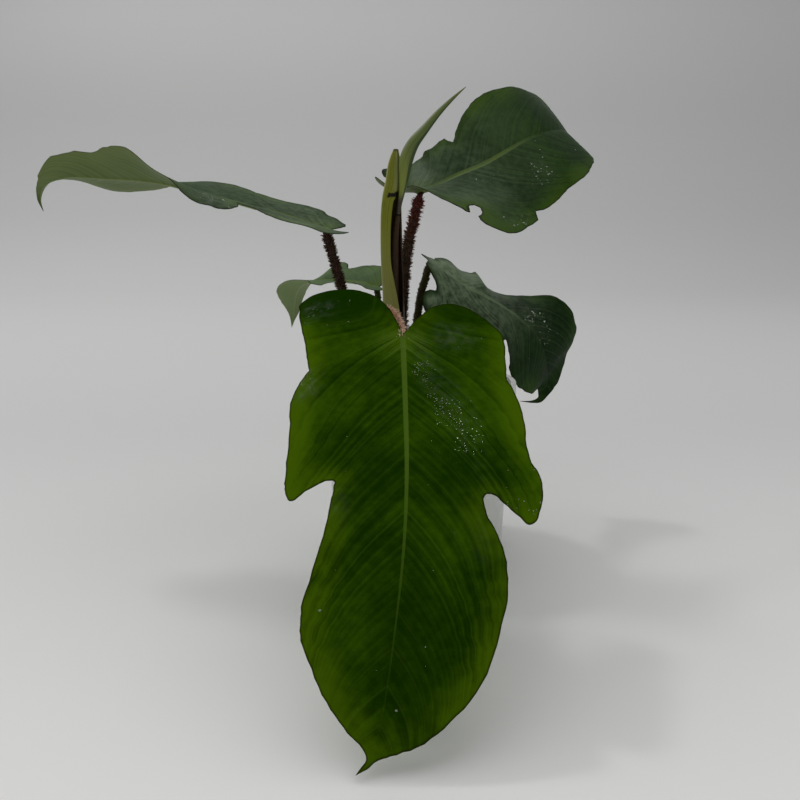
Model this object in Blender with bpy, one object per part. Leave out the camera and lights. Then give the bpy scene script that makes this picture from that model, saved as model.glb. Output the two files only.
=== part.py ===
"""Philodendron squamiferum in a plastic nursery pot.

Metres, +Z up. The origin is at the middle of the pot's underside, and the front leaf hangs
towards -Y. Five lobed blades stand on bristly petioles, and a rolled new leaf comes out of
an open sheath on top of the short stem.
"""

import math
import random
from dataclasses import dataclass

import bmesh
import bpy
import numpy as np
from mathutils import Vector
from mathutils.geometry import delaunay_2d_cdt

MM = 0.001
GAP = 0.0003

POT_HEIGHT = 0.110
POT_RIM_RADIUS = 0.0615
POT_TOP_RADIUS = 0.0595
POT_FOOT_RADIUS = 0.0550
POT_WALL = 0.0012
POT_FLOOR = 0.0018
POT_RIM_DEPTH = 0.0085
POT_ROUND = 0.0007
POT_SEGMENTS = 48
DRAIN_HOLES = 6
DRAIN_SIDES = 12
DRAIN_RADIUS = 0.0045
DRAIN_RING_RADIUS = 0.034

SOIL_TOP = 0.0960
SOIL_RISE = 0.0022
SOIL_CRUMB = 0.0011
SOIL_SEGMENTS = 36
SOIL_RINGS = (0.99, 0.82, 0.64, 0.46, 0.30)
SOIL_SEED = 5

STEM_X = -0.014
STEM_Y = 0.003
STEM_FOOT = 0.060
STEM_TOP = 0.122
STEM_RADIUS = 0.0070
STEM_HOLE_RADIUS = 0.0086
STEM_NODE_SPACING = 0.0085
STEM_NODE_RISE = 0.0009
STEM_NODE_WIDTH = 0.18
STEM_RINGS = 20
STEM_SIDES = 16

BLADE_THICKNESS = 0.0007
MIDRIB_STEPS = 16
OUTLINE_STEPS = 2
BLADE_CELL = 0.013
CELL_CLEAR = 0.45
MIDRIB_LEAST_STEP = 0.002
DIRECTION_REACH = 0.02
LEAST_CURL = 0.01
MERGE_WITHIN = 1e-7

PETIOLE_RADIUS = 0.0022
PETIOLE_END_RADIUS = 0.0016
PETIOLE_SIDES = 6
PETIOLE_RING = 0.0050
PETIOLE_UNDER = 0.0025
PETIOLE_DIP = 0.0015
PETIOLE_BEFORE = 0.004
PETIOLE_PAST = 0.003
PETIOLE_TAPER_RINGS = 3
BRISTLE_LENGTH = 0.0020
BRISTLE_INSET = 0.0003
BRISTLE_WAIST = 0.5
BRISTLE_DROOP = 0.0007
BRISTLE_BARE_RINGS = 2
BRISTLE_SPREAD = (0.75, 1.2)

SHEATH_WALL = 0.0007
SHEATH_COLUMNS = 14
SHEATH_STEPS = 2
SPEAR_SIDES = 12
SPEAR_RING = 0.006
NEW_PETIOLE_SIDES = 8
NEW_PETIOLE_RING = 0.010

LEAF_GREEN = (0.035, 0.090, 0.012)
PETIOLE_MAROON = (0.085, 0.030, 0.022)
SHEATH_GREEN = (0.230, 0.270, 0.085)
SPEAR_GREEN = (0.110, 0.200, 0.040)
STEM_BROWN = (0.120, 0.105, 0.055)
SOIL_BROWN = (0.045, 0.030, 0.020)
POT_WHITE = (0.720, 0.730, 0.740)


@dataclass(frozen=True)
class Leaf:
    """One blade, in mm from the origin, with its outline laid flat along the midrib.

    midrib runs from the petiole to the tip. At each of its points, face is the way the upper
    side looks, curl how fast the right and the left half roll under in turns per metre of
    width, and fold how far the halves rise from the midrib in degrees. right and left are the
    halves' outlines, across and along the midrib, as smooth runs between corners. lobe_bend
    is how fast the lobes behind the petiole bend under, per metre.
    """

    name: str
    midrib: tuple
    face: tuple
    curl: tuple
    fold: tuple
    right: tuple
    left: tuple
    lobe_bend: float


FRONT_LEAF = Leaf(
    name="blade_front",
    midrib=((-10.5, -89, 151), (-9.5, -128, 126), (-9, -162, 102), (-10.5, -188, 75.5),
            (-14.5, -210, 46.5), (-18.5, -224, 24.5), (-23, -231, 8.5), (-29, -234, 3)),
    face=((0.06, -0.6, 0.8), (0.04, -0.6, 0.8), (0.01, -0.7, 0.7), (0, -0.7, 0.7), (-0.01, -0.9, 0.5),
          (0, -0.9, 0.5), (0, -1, 0.3), (0, -1, 0.3)),
    curl=((3, 0), (3, 1), (4, 2), (3, 2), (3, 2), (3, 2), (3, 3), (3, 3)),
    fold=(-3, -2, -1, 1, 0, 0, 0, 0),
    right=(
        ((0, -2), (4, -16), (9, -30), (17, -42), (28, -50), (40, -52), (50, -48),
         (57, -38), (56, -24), (53, -5), (50, 12), (48, 22)),
        ((48, 22), (53, 32), (56, 44), (55, 66), (55, 92), (52, 104)),
        ((52, 104), (45, 99), (38, 94), (32, 94)),
        ((32, 94), (33, 103), (35, 122), (39, 148), (39, 162), (35, 173),
         (25, 189), (14, 201), (4, 206), (2, 211), (0, 217)),
    ),
    left=(
        ((0, -2), (5, -10), (10, -19), (16, -27), (24, -33), (32, -33), (42, -25),
         (50, -13), (54, -4), (53, 15), (52, 29)),
        ((52, 29), (55, 38), (57, 55), (56, 76), (60, 87), (61, 98), (58, 108),
         (53, 112)),
        ((53, 112), (46, 105), (40, 99), (34, 100)),
        ((34, 100), (36, 110), (42, 122), (45, 137), (43, 152), (39, 171),
         (29, 187), (18, 198), (7, 205), (3, 209), (0, 217)),
    ),
    lobe_bend=5,
)

RIGHT_LEAF = Leaf(
    name="blade_right",
    midrib=((-1, 22, 226.5), (13.5, 21, 232), (27, 25, 238), (42.5, 33.5, 244.5), (58.5, 43.5, 253.5),
            (74, 55, 262), (89.5, 67, 267.5), (101.5, 85, 268), (113, 107, 261.5), (119.5, 126, 249),
            (115, 139, 242)),
    face=((0, -0.2, 0.96), (0.1, -0.43, 0.87), (0.21, -0.57, 0.77), (0.32, -0.64, 0.67),
          (0.39, -0.69, 0.59), (0.4, -0.69, 0.55), (0.42, -0.58, 0.55), (0.62, -0.31, 0.69),
          (0.81, -0.11, 0.59), (0.9, 0, 0.4), (1, 0, 0.2)),
    curl=((7, 2), (8, 3), (8, 5), (7, 5), (6, 4), (4, 3), (2, 3), (2, 2), (3, 2), (3, 2), (3, 3)),
    fold=(25, 16, 7, 3, 2, 3, 4, 5, 4, 3, 3),
    right=(
        ((0, -2), (4, -6), (8, -16), (10, -27), (14, -30), (17, -22), (18, -10), (23, 2),
         (35, 11), (46, 17), (41, 20), (35, 24)),
        ((35, 24), (42, 23), (50, 22), (56, 24), (55, 29), (52, 38), (50, 48),
         (50, 56)),
        ((50, 56), (47, 57), (44, 58)),
        ((44, 58), (45, 65), (44, 74), (40, 90), (36, 109), (31, 128),
         (23, 147), (13, 168), (6, 183), (2, 192), (0, 200)),
    ),
    left=(
        ((0, -2), (7, -6), (15, -16), (16, -26), (20, -27), (26, -11), (33, 4),
         (31, 17), (29, 26), (30, 32), (31, 39)),
        ((31, 39), (28, 40), (25, 42)),
        ((25, 42), (31, 50), (38, 64), (42, 79), (41, 95), (38, 112)),
        ((38, 112), (34, 126), (33, 140), (26, 155), (17, 171), (7, 184),
         (2, 193), (0, 200)),
    ),
    lobe_bend=-38,
)

LEFT_LEAF = Leaf(
    name="blade_left",
    midrib=((-56, 0, 204), (-67, 1, 207.5), (-79.5, 5, 211.5), (-92.5, 9, 215), (-105, 10, 218),
            (-120, 10, 222), (-135, 8, 225.5), (-153, 7, 230.5), (-172, 10, 233), (-196, 17, 234.5),
            (-219, 20, 235.5), (-237.5, 26, 231.5), (-244.5, 30, 224), (-242, 28, 217)),
    face=((0, -0.1, 1), (0.01, -0.08, 1), (0.02, -0.08, 1), (0.03, -0.08, 1), (0.02, -0.12, 1),
          (0.01, -0.13, 1), (0.01, -0.06, 1), (0.03, 0.09, 0.97), (0.01, 0.39, 0.98),
          (0, 0.48, 0.89), (-0.11, 0.41, 0.88), (-0.83, 0.25, 0.59), (-1, 0.17, 0.09),
          (-1, 0.18, -0.31)),
    curl=((0, 6), (0, 5), (0, 7), (1, 6), (4, 11), (4, 10), (4, 14), (4, 6), (3, -5), (3, -3),
          (3, -3), (3, -2), (4, -1), (4, -1)),
    fold=(8, 8, 8, 8, 12, 12, 13, 13, 15, 14, 15, 14, 11, 10),
    right=(
        ((0, -2), (5, -5), (12, -9), (19, -6), (26, 3), (28, 20), (28, 37),
         (28, 46), (26, 55)),
        ((26, 55), (31, 62), (37, 72), (41, 85), (42, 95), (39, 103)),
        ((39, 103), (32, 101), (25, 102)),
        ((25, 102), (22, 113), (23, 130), (26, 149), (25, 162), (19, 176),
         (12, 187), (5, 194), (2, 200), (0, 208)),
    ),
    left=(
        ((0, -2), (4, -8), (12, -14), (20, -13), (27, -5), (28, 7), (26, 18),
         (23, 29), (20, 42)),
        ((20, 42), (20, 51), (18, 56)),
        ((18, 56), (27, 55), (36, 57), (42, 66), (41, 78), (37, 88)),
        ((37, 88), (33, 92), (27, 96)),
        ((27, 96), (27, 103), (30, 112), (30, 126), (27, 141), (22, 159),
         (16, 171), (6, 185), (3, 197), (0, 208)),
    ),
    lobe_bend=-23,
)

REAR_RIGHT_LEAF = Leaf(
    name="blade_rear_right",
    midrib=((8, 27, 182.5), (20, 31, 175), (32.5, 35, 166), (45, 38, 159.5), (57.5, 44, 152),
            (69, 47, 144), (80, 49, 134), (88, 53, 121.5), (92.5, 60, 107.5), (95, 69, 92.5),
            (91.5, 69, 81.5), (85, 68, 79.5), (75, 66, 80.5)),
    face=((0.1, -0.26, 0.95), (0.11, -0.4, 0.85), (0.16, -0.42, 0.81), (0.23, -0.54, 0.74),
          (0.28, -0.45, 0.73), (0.28, -0.56, 0.62), (0.26, -0.75, 0.45), (0.25, -0.76, 0.42),
          (0.29, -0.72, 0.38), (0.33, -0.75, 0.3), (0.13, -0.92, 0.05), (-0.02, -0.95, -0.26),
          (-0.04, -0.86, -0.47)),
    curl=((30, 8), (30, 9), (22, 13), (10, 14), (5, 16), (5, 11), (4, 3), (2, 2), (0, 4), (0, 4), (0, 3),
          (1, 3), (1, 3)),
    fold=(0, 0, -1, -1, -4, -1, 3, 4, 5, 6, 6, 6, 6),
    right=(
        ((0, -2), (6, -6), (15, -7), (21, -3), (27, 2), (30, 8), (31, 14)),
        ((31, 14), (35, 22), (38, 36), (40, 50), (38, 61), (34, 66)),
        ((34, 66), (30, 67), (26, 70)),
        ((26, 70), (29, 82), (34, 95), (35, 108), (30, 120), (20, 132),
         (8, 144), (2, 157), (0, 169)),
    ),
    left=(
        ((0, -2), (3, -5), (7, -6), (11, -2), (12, 2), (12, 5)),
        ((12, 5), (19, 9), (27, 21), (31, 36), (33, 48), (33, 55), (31, 59)),
        ((31, 59), (27, 59), (23, 60)),
        ((23, 60), (24, 70), (32, 85), (36, 97), (34, 111), (23, 127),
         (10, 138), (3, 147), (1, 157), (0, 169)),
    ),
    lobe_bend=0,
)

REAR_LEFT_LEAF = Leaf(
    name="blade_rear_left",
    midrib=((-28, 54, 164.5), (-36, 58, 166.5), (-47, 67, 167), (-57, 74, 167), (-66.5, 77, 167),
            (-75.5, 80.8, 166), (-84, 89.5, 162.5), (-89.5, 97, 155), (-91.5, 101, 145.5),
            (-92.5, 101, 137.5), (-93.5, 99, 129.5)),
    face=((-0.08, -0.31, 0.94), (-0.05, -0.24, 0.96), (-0.06, -0.27, 0.96), (-0.05, -0.3, 0.95),
          (-0.02, -0.22, 0.96), (0.01, -0.05, 0.98), (-0.24, 0.32, 0.99), (-0.54, 0.63, 0.6),
          (-0.48, 0.81, 0.2), (-0.39, 0.9, 0), (-0.39, 0.9, -0.1)),
    curl=((0, 2), (0, 2), (0, 3), (1, 4), (2, 4), (3, 4), (4, 3), (4, 3), (4, 4), (4, 4), (4, 4)),
    fold=(19, 18, 16, 14, 11, 10, 9, 8, 8, 7, 7),
    right=(
        ((0, -2), (6, -5), (14, -6), (19, -2), (20, 6), (20, 18), (18, 27),
         (15, 34)),
        ((15, 34), (22, 38), (26, 43), (24, 48), (19, 52)),
        ((19, 52), (13, 54), (7, 58)),
        ((7, 58), (10, 70), (10, 81), (7, 89), (5, 96), (2, 102), (0, 109)),
    ),
    left=(
        ((0, -2), (3, -6), (9, -9), (15, -8), (17, -2), (16, 5), (14, 11),
         (11, 20)),
        ((11, 20), (14, 25), (16, 31), (21, 40), (20, 48)),
        ((20, 48), (16, 50), (13, 52)),
        ((13, 52), (12, 56), (15, 66), (17, 77), (11, 87), (5, 96),
         (2, 102), (0, 109)),
    ),
    lobe_bend=-13,
)

# Each petiole's route from the stem, in mm. Its end lies under its leaf's midrib.
PETIOLE_ROUTES = (
    ("petiole_front", FRONT_LEAF,
     ((-14, -4.8, 112), (-14.5, -11, 114.5), (-19, -26, 147), (-19, -40, 157), (-15, -58, 156),
      (-12, -74, 150))),
    ("petiole_right", RIGHT_LEAF,
     ((-9.1, 11.5, 108), (-7.5, 14.2, 113), (-8, 15, 130), (-8.7, 16, 146), (-8.2, 17.5, 170),
      (-6.8, 19.5, 195), (-4.6, 21, 212))),
    ("petiole_left", LEFT_LEAF,
     ((-23, 4, 109), (-28, 5, 114), (-36, 4, 131), (-43, 3, 150), (-49.5, 2, 168), (-54.5, 1, 185))),
    ("petiole_rear_right", REAR_RIGHT_LEAF,
     ((-13.1, 11.6, 102), (-10.5, 17.5, 107), (-5, 24.5, 125), (-1.5, 27, 146), (-0.5, 27.5, 160),
      (1.5, 27, 171))),
    ("petiole_rear_left", REAR_LEFT_LEAF,
     ((-19.6, 9.6, 104), (-23, 16, 109), (-27, 32, 125), (-28.5, 46, 142), (-27, 51, 153))),
)

# Centre, half width and half opening angle of the sheath by height, in mm and degrees.
SHEATH_SECTIONS = (
    (-14, 3, 122.4, 5.9, 6), (-14.6, 2, 136, 6.2, 8), (-15.6, 1, 150, 6.3, 10), (-16.4, 0, 167, 6.2, 34),
    (-17.1, 0, 183, 6.2, 48), (-17.5, 0, 197, 6.1, 48), (-17.6, 0, 210, 5.8, 42),
    (-17.3, 0, 219, 5.5, 34), (-16.8, 0, 226, 5.0, 8), (-15.9, 0, 233, 4.4, 5),
    (-15.5, 0, 241, 3.5, 6), (-15.0, 0, 246, 2.5, 8), (-14.4, 0, 250.5, 1.0, 14),
)
SHEATH_OPENING_DEG = -45

# Centre and radius of the new leaf's petiole and of its rolled blade, in mm.
NEW_PETIOLE_ROUTE = (
    (-14, 3, 122.6, 3.2), (-14.8, 1.6, 145, 3.1), (-15.6, 0.4, 170, 3.0), (-15.6, 0, 190, 2.7),
    (-14.6, -0.9, 203, 2.0), (-13.2, -2.2, 212, 1.5),
)
SPEAR_ROUTE = (
    (-13.0, -2.6, 212.9, 1.4), (-12.1, -3.9, 219, 1.6), (-10.6, -5.2, 226, 2.1),
    (-9.2, -5.9, 234.5, 2.9), (-7.2, -5.6, 244, 3.7), (-3.6, -5.4, 253, 3.4), (2.0, -5, 261.5, 2.8),
    (10, -4.2, 270.5, 2.0), (19, -3.2, 278.8, 1.1), (26.5, -2.4, 285.2, 0.25),
)


def smooth(rows, steps):
    """Rows along a Catmull-Rom curve through the given rows, with so many steps between two."""
    rows = np.asarray(rows, float)
    rows = np.vstack([2 * rows[0] - rows[1], rows, 2 * rows[-1] - rows[-2]])
    found = []
    for before, start, end, after in zip(rows, rows[1:], rows[2:], rows[3:]):
        for step in range(steps):
            t = step / steps
            found.append(0.5 * (2 * start + (end - before) * t
                                + (2 * before - 5 * start + 4 * end - after) * t ** 2
                                + (3 * start - before - 3 * end + after) * t ** 3))
    found.append(rows[-2])
    return np.array(found)


def unit(vector):
    return vector / np.linalg.norm(vector)


class Blade:
    """The bent surface of a leaf, which turns a place on the flat leaf into a point in space."""

    def __init__(self, leaf):
        rows = [(*point, *face, *curl, fold)
                for point, face, curl, fold in zip(leaf.midrib, leaf.face, leaf.curl, leaf.fold)]
        self.rows = smooth(rows, MIDRIB_STEPS)
        self.rows[:, :3] *= MM
        steps = np.linalg.norm(np.diff(self.rows[:, :3], axis=0), axis=1)
        self.reach = np.concatenate([[0], np.cumsum(steps)])
        self.length = self.reach[-1]
        self.leaf = leaf
        self.scale = self.length / (leaf.right[-1][-1][1] * MM)

    def row(self, along):
        return np.array([np.interp(along, self.reach, column) for column in self.rows.T])

    def frame(self, along):
        """Point, direction to the tip, direction of the upper face, and the row there."""
        row = self.row(along)
        reach = self.length * DIRECTION_REACH
        inside = min(max(along, 0), self.length)
        tip = unit(self.row(inside + reach)[:3] - self.row(inside - reach)[:3])
        face = row[3:6] - tip * (row[3:6] @ tip)
        face = unit(face)
        point = row[:3]
        if along < 0 and self.leaf.lobe_bend:
            bend = self.leaf.lobe_bend
            turn = bend * along
            point = point + tip * math.sin(turn) / bend - face * (1 - math.cos(turn)) / bend
            tip, face = (tip * math.cos(turn) - face * math.sin(turn),
                         face * math.cos(turn) + tip * math.sin(turn))
        elif along < 0:
            point = point + tip * along
        return point, tip, face, row

    def point(self, across, along):
        """The place on the leaf that lies so far across to the right and along the midrib."""
        point, tip, face, row = self.frame(along)
        curl = row[6] if across >= 0 else row[7]
        curl = curl if abs(curl) > LEAST_CURL else LEAST_CURL
        fold = math.radians(row[8])
        turned = fold - curl * abs(across)
        out = (math.sin(fold) - math.sin(turned)) / curl
        rise = (math.cos(turned) - math.cos(fold)) / curl
        return point + np.cross(tip, face) * math.copysign(out, across) + face * rise

    def under(self, along, depth):
        """A point that lies so deep below the midrib."""
        point, _, face, _ = self.frame(along)
        return point - face * depth

    def margin(self, runs):
        """Points of one half's outline, across and along, from the petiole to the tip."""
        parts = [smooth(run, OUTLINE_STEPS) for run in runs]
        points = np.vstack([parts[0]] + [part[1:] for part in parts[1:]])
        points[:, 0] = np.clip(points[:, 0], 0, None)
        return points * MM * self.scale

    def outline(self):
        """The closed outline of the flat blade, round from the notch at the petiole."""
        right = self.margin(self.leaf.right)
        left = self.margin(self.leaf.left) * (-1, 1)
        return np.vstack([right, left[-2:0:-1]])


def inside(points, outline):
    """Which of the points lie inside the closed outline."""
    found = np.zeros(len(points), bool)
    for start, end in zip(outline, np.roll(outline, -1, axis=0)):
        rise = end[1] - start[1]
        if rise:
            spans = (start[1] > points[:, 1]) != (end[1] > points[:, 1])
            crossing = start[0] + (points[:, 1] - start[1]) / rise * (end[0] - start[0])
            found ^= spans & (points[:, 0] < crossing)
    return found


def distance_to(points, outline):
    """How far each of the points lies from the closed outline."""
    least = np.full(len(points), math.inf)
    for start, end in zip(outline, np.roll(outline, -1, axis=0)):
        side = end - start
        part = np.clip((points - start) @ side / (side @ side), 0, 1)
        least = np.minimum(least, np.linalg.norm(points - start - part[:, None] * side, axis=1))
    return least


def flat_blade(blade, cell):
    """The flat blade in triangles no larger than a cell, with an edge along its midrib."""
    outline = blade.outline()
    length = blade.length
    stops = list(np.linspace(0, length, round(length / cell) + 1)[:-1])
    for across, along in blade.margin(blade.leaf.right)[:-1]:
        near_tip = along > length / 2 and across < cell / 2
        if near_tip and min(abs(stop - along) for stop in stops) > MIDRIB_LEAST_STEP:
            stops.append(along)
    midrib = [(0, along) for along in sorted(stops)]
    low, high = outline.min(axis=0), outline.max(axis=0)
    rows = np.arange(low[1], high[1], cell * math.sqrt(0.75))
    inner = np.array([(across + cell / 2 * (number % 2), along) for number, along in enumerate(rows)
                      for across in np.arange(low[0], high[0], cell)])
    clear = cell * CELL_CLEAR
    kept = inside(inner, outline) & (distance_to(inner, outline) > clear) & (abs(inner[:, 0]) > clear)
    points = [Vector(point) for point in (*outline, *midrib, *inner[kept])]
    count = len(outline)
    edges = [(at, (at + 1) % count) for at in range(count)]
    tip = len(blade.margin(blade.leaf.right)) - 1
    rib = [0, *range(count, count + len(midrib)), tip]
    edges += list(zip(rib, rib[1:]))
    places, _, faces, *_ = delaunay_2d_cdt(points, edges, [], 1, MERGE_WITHIN)
    return places, faces


def material(name, colour, roughness, metallic=0.0):
    made = bpy.data.materials.new(name)
    made.use_nodes = True
    shader = made.node_tree.nodes["Principled BSDF"]
    shader.inputs["Base Color"].default_value = (*colour, 1)
    shader.inputs["Roughness"].default_value = roughness
    shader.inputs["Metallic"].default_value = metallic
    return made


def add(name, shape, finish, smooth_angle_deg=40):
    """Puts a bmesh in the scene as one named object."""
    bmesh.ops.recalc_face_normals(shape, faces=shape.faces)
    mesh = bpy.data.meshes.new(name)
    shape.to_mesh(mesh)
    shape.free()
    mesh.shade_smooth()
    mesh.set_sharp_from_angle(angle=math.radians(smooth_angle_deg))
    mesh.materials.append(finish)
    thing = bpy.data.objects.new(name, mesh)
    bpy.context.scene.collection.objects.link(thing)
    return thing


def thicken(thing, thickness):
    wall = thing.modifiers.new("wall", "SOLIDIFY")
    wall.thickness = thickness
    wall.offset = 0.0


def grid_faces(shape, grid):
    for near, far in zip(grid, grid[1:]):
        for column in range(len(near) - 1):
            shape.faces.new((near[column], far[column], far[column + 1], near[column + 1]))


def build_blade(leaf, finish):
    blade = Blade(leaf)
    places, faces = flat_blade(blade, BLADE_CELL)
    shape = bmesh.new()
    verts = [shape.verts.new(blade.point(across, along)) for across, along in places]
    for face in faces:
        shape.faces.new([verts[corner] for corner in face])
    loose = [vert for vert in shape.verts if not vert.link_faces]
    bmesh.ops.delete(shape, geom=loose, context="VERTS")
    thicken(add(leaf.name, shape, finish), BLADE_THICKNESS)


def tube(centres, radii, sides):
    """A closed tube through the centres, and its side faces ring by ring."""
    shape = bmesh.new()
    side = Vector((1, 0, 0))
    rings = []
    for at, (centre, radius) in enumerate(zip(centres, radii)):
        ahead = centres[min(at + 1, len(centres) - 1)]
        behind = centres[max(at - 1, 0)]
        direction = Vector(ahead - behind).normalized()
        side = (side - direction * side.dot(direction)).normalized()
        other = direction.cross(side)
        turns = [math.tau * corner / sides for corner in range(sides)]
        rings.append([shape.verts.new(Vector(centre) + side * radius * math.cos(turn)
                                      + other * radius * math.sin(turn)) for turn in turns])
    walls = []
    for near, far in zip(rings, rings[1:]):
        walls.append([shape.faces.new((near[corner], near[(corner + 1) % sides],
                                       far[(corner + 1) % sides], far[corner]))
                      for corner in range(sides)])
    shape.faces.new(rings[0][::-1])
    shape.faces.new(rings[-1])
    return shape, walls


def even_path(points, spacing):
    """Points of the smooth route, about so far apart."""
    dense = smooth(points, MIDRIB_STEPS)
    steps = np.linalg.norm(np.diff(dense, axis=0), axis=1)
    reach = np.concatenate([[0], np.cumsum(steps)])
    stops = np.linspace(0, reach[-1], round(reach[-1] / spacing) + 1)
    return [np.array([np.interp(stop, reach, column) for column in dense.T]) for stop in stops]


def raise_bristles(shape, walls, seed):
    """Draws every second face of the petiole out into a soft pointed scale."""
    draw = random.Random(seed)
    chosen = [face for ring, faces in enumerate(walls[BRISTLE_BARE_RINGS:-BRISTLE_BARE_RINGS])
              for corner, face in enumerate(faces) if (ring + corner) % 2 == 0]
    bmesh.ops.inset_individual(shape, faces=chosen, thickness=BRISTLE_INSET)
    for face in chosen:
        middle = face.calc_center_median()
        for vert in face.verts:
            vert.co = middle.lerp(vert.co, BRISTLE_WAIST)
    for face in chosen:
        length = BRISTLE_LENGTH * draw.uniform(*BRISTLE_SPREAD)
        poked = bmesh.ops.poke(shape, faces=[face], offset=length)
        poked["verts"][0].co.z -= BRISTLE_DROOP * draw.uniform(0, 1)


def build_petiole(name, leaf, route, finish, seed):
    blade = Blade(leaf)
    points = [np.array(point) * MM for point in route]
    points += [blade.under(-PETIOLE_BEFORE, PETIOLE_UNDER + PETIOLE_DIP),
               blade.under(PETIOLE_PAST, PETIOLE_UNDER)]
    centres = even_path(points, PETIOLE_RING)
    radii = np.full(len(centres), PETIOLE_RADIUS)
    taper = np.linspace(PETIOLE_RADIUS, PETIOLE_END_RADIUS, PETIOLE_TAPER_RINGS + 1)
    radii[-PETIOLE_TAPER_RINGS:] = taper[1:]
    shape, walls = tube(centres, radii, PETIOLE_SIDES)
    raise_bristles(shape, walls, seed)
    add(name, shape, finish, smooth_angle_deg=60)


def build_sheath(finish):
    """The open sheath: a thin wall round each section, left open over the slit."""
    shape = bmesh.new()
    grid = []
    opening = math.radians(SHEATH_OPENING_DEG)
    for x, y, z, radius, half_open in smooth(SHEATH_SECTIONS, SHEATH_STEPS):
        start = opening + math.radians(half_open)
        turn = math.tau - 2 * math.radians(half_open)
        angles = [start + turn * column / SHEATH_COLUMNS for column in range(SHEATH_COLUMNS + 1)]
        grid.append([shape.verts.new(((x + radius * math.cos(angle)) * MM,
                                      (y + radius * math.sin(angle)) * MM, z * MM))
                     for angle in angles])
    grid_faces(shape, grid)
    bmesh.ops.triangulate(shape, faces=shape.faces)
    thicken(add("sheath", shape, finish), SHEATH_WALL)


def build_spindle(name, route, sides, spacing, finish):
    rows = np.array(route) * MM
    path = even_path(rows, spacing)
    shape, _ = tube([row[:3] for row in path], [row[3] for row in path], sides)
    add(name, shape, finish, smooth_angle_deg=60)


def spin_profile(profile, segments):
    """Turns a closed outline of (radius, height) round the Z axis."""
    shape = bmesh.new()
    verts = [shape.verts.new((radius, 0, height)) for radius, height in profile]
    edges = [shape.edges.new((start, end)) for start, end in zip(verts, verts[1:])]
    bmesh.ops.spin(shape, geom=verts + edges, cent=(0, 0, 0), axis=(0, 0, 1), dvec=(0, 0, 0),
                   angle=math.tau, steps=segments, use_merge=True, use_duplicate=False)
    bmesh.ops.remove_doubles(shape, verts=shape.verts, dist=0.00001)
    return shape


def build_stem(finish):
    """The short main stem, with a raised ring at every node."""
    heights = np.linspace(STEM_FOOT, STEM_TOP, STEM_RINGS)
    profile = [(0, STEM_FOOT)]
    for height in heights:
        part = (STEM_TOP - height) / STEM_NODE_SPACING % 1
        swell = STEM_NODE_RISE * math.exp(-((part - 0.5) / STEM_NODE_WIDTH) ** 2)
        profile.append((STEM_RADIUS + swell * (height > SOIL_TOP), height))
    profile.append((0, STEM_TOP))
    shape = spin_profile(profile, STEM_SIDES)
    bmesh.ops.translate(shape, verts=shape.verts, vec=(STEM_X, STEM_Y, 0))
    add("stem", shape, finish)


def build_soil(finish):
    """The soil, a plug that fills the pot to below its rim, with a plain hole for the stem."""
    foot = POT_FLOOR + GAP
    slope = (POT_TOP_RADIUS - POT_FOOT_RADIUS) / POT_HEIGHT
    edge = POT_TOP_RADIUS - POT_WALL - GAP - slope * (POT_HEIGHT - SOIL_TOP)
    low = POT_FOOT_RADIUS - POT_WALL - GAP
    profile = [(0, foot), (low, foot), (edge, SOIL_TOP)]
    profile += [(edge * ring, SOIL_TOP + SOIL_RISE * (1 - ring)) for ring in SOIL_RINGS]
    profile.append((0, SOIL_TOP + SOIL_RISE))
    shape = spin_profile(profile, SOIL_SEGMENTS)
    draw = random.Random(SOIL_SEED)
    inner = [vert for vert in shape.verts
             if vert.co.z > SOIL_TOP - GAP and 0.001 < math.hypot(vert.co.x, vert.co.y) < edge - GAP]
    inner.sort(key=lambda vert: (round(vert.co.x, 6), round(vert.co.y, 6)))
    for vert in inner:
        vert.co.z += SOIL_CRUMB * draw.uniform(-1, 1)
    soil = add("soil", shape, finish)
    hole = bmesh.new()
    bmesh.ops.create_cone(hole, cap_ends=True, segments=STEM_SIDES * 2, radius1=STEM_HOLE_RADIUS,
                          radius2=STEM_HOLE_RADIUS, depth=POT_HEIGHT)
    bmesh.ops.translate(hole, verts=hole.verts,
                        vec=(STEM_X, STEM_Y, STEM_FOOT - GAP + POT_HEIGHT / 2))
    cut(soil, "stem_hole", hole, finish)


def cut(thing, name, shape, finish):
    """Takes a shape out of a thing with a Boolean, and keeps the cutter out of the render."""
    cutter = add(name, shape, finish)
    cutter.hide_render = True
    cutter.display_type = "WIRE"
    boolean = thing.modifiers.new(name, "BOOLEAN")
    boolean.operation = "DIFFERENCE"
    boolean.object = cutter


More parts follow.
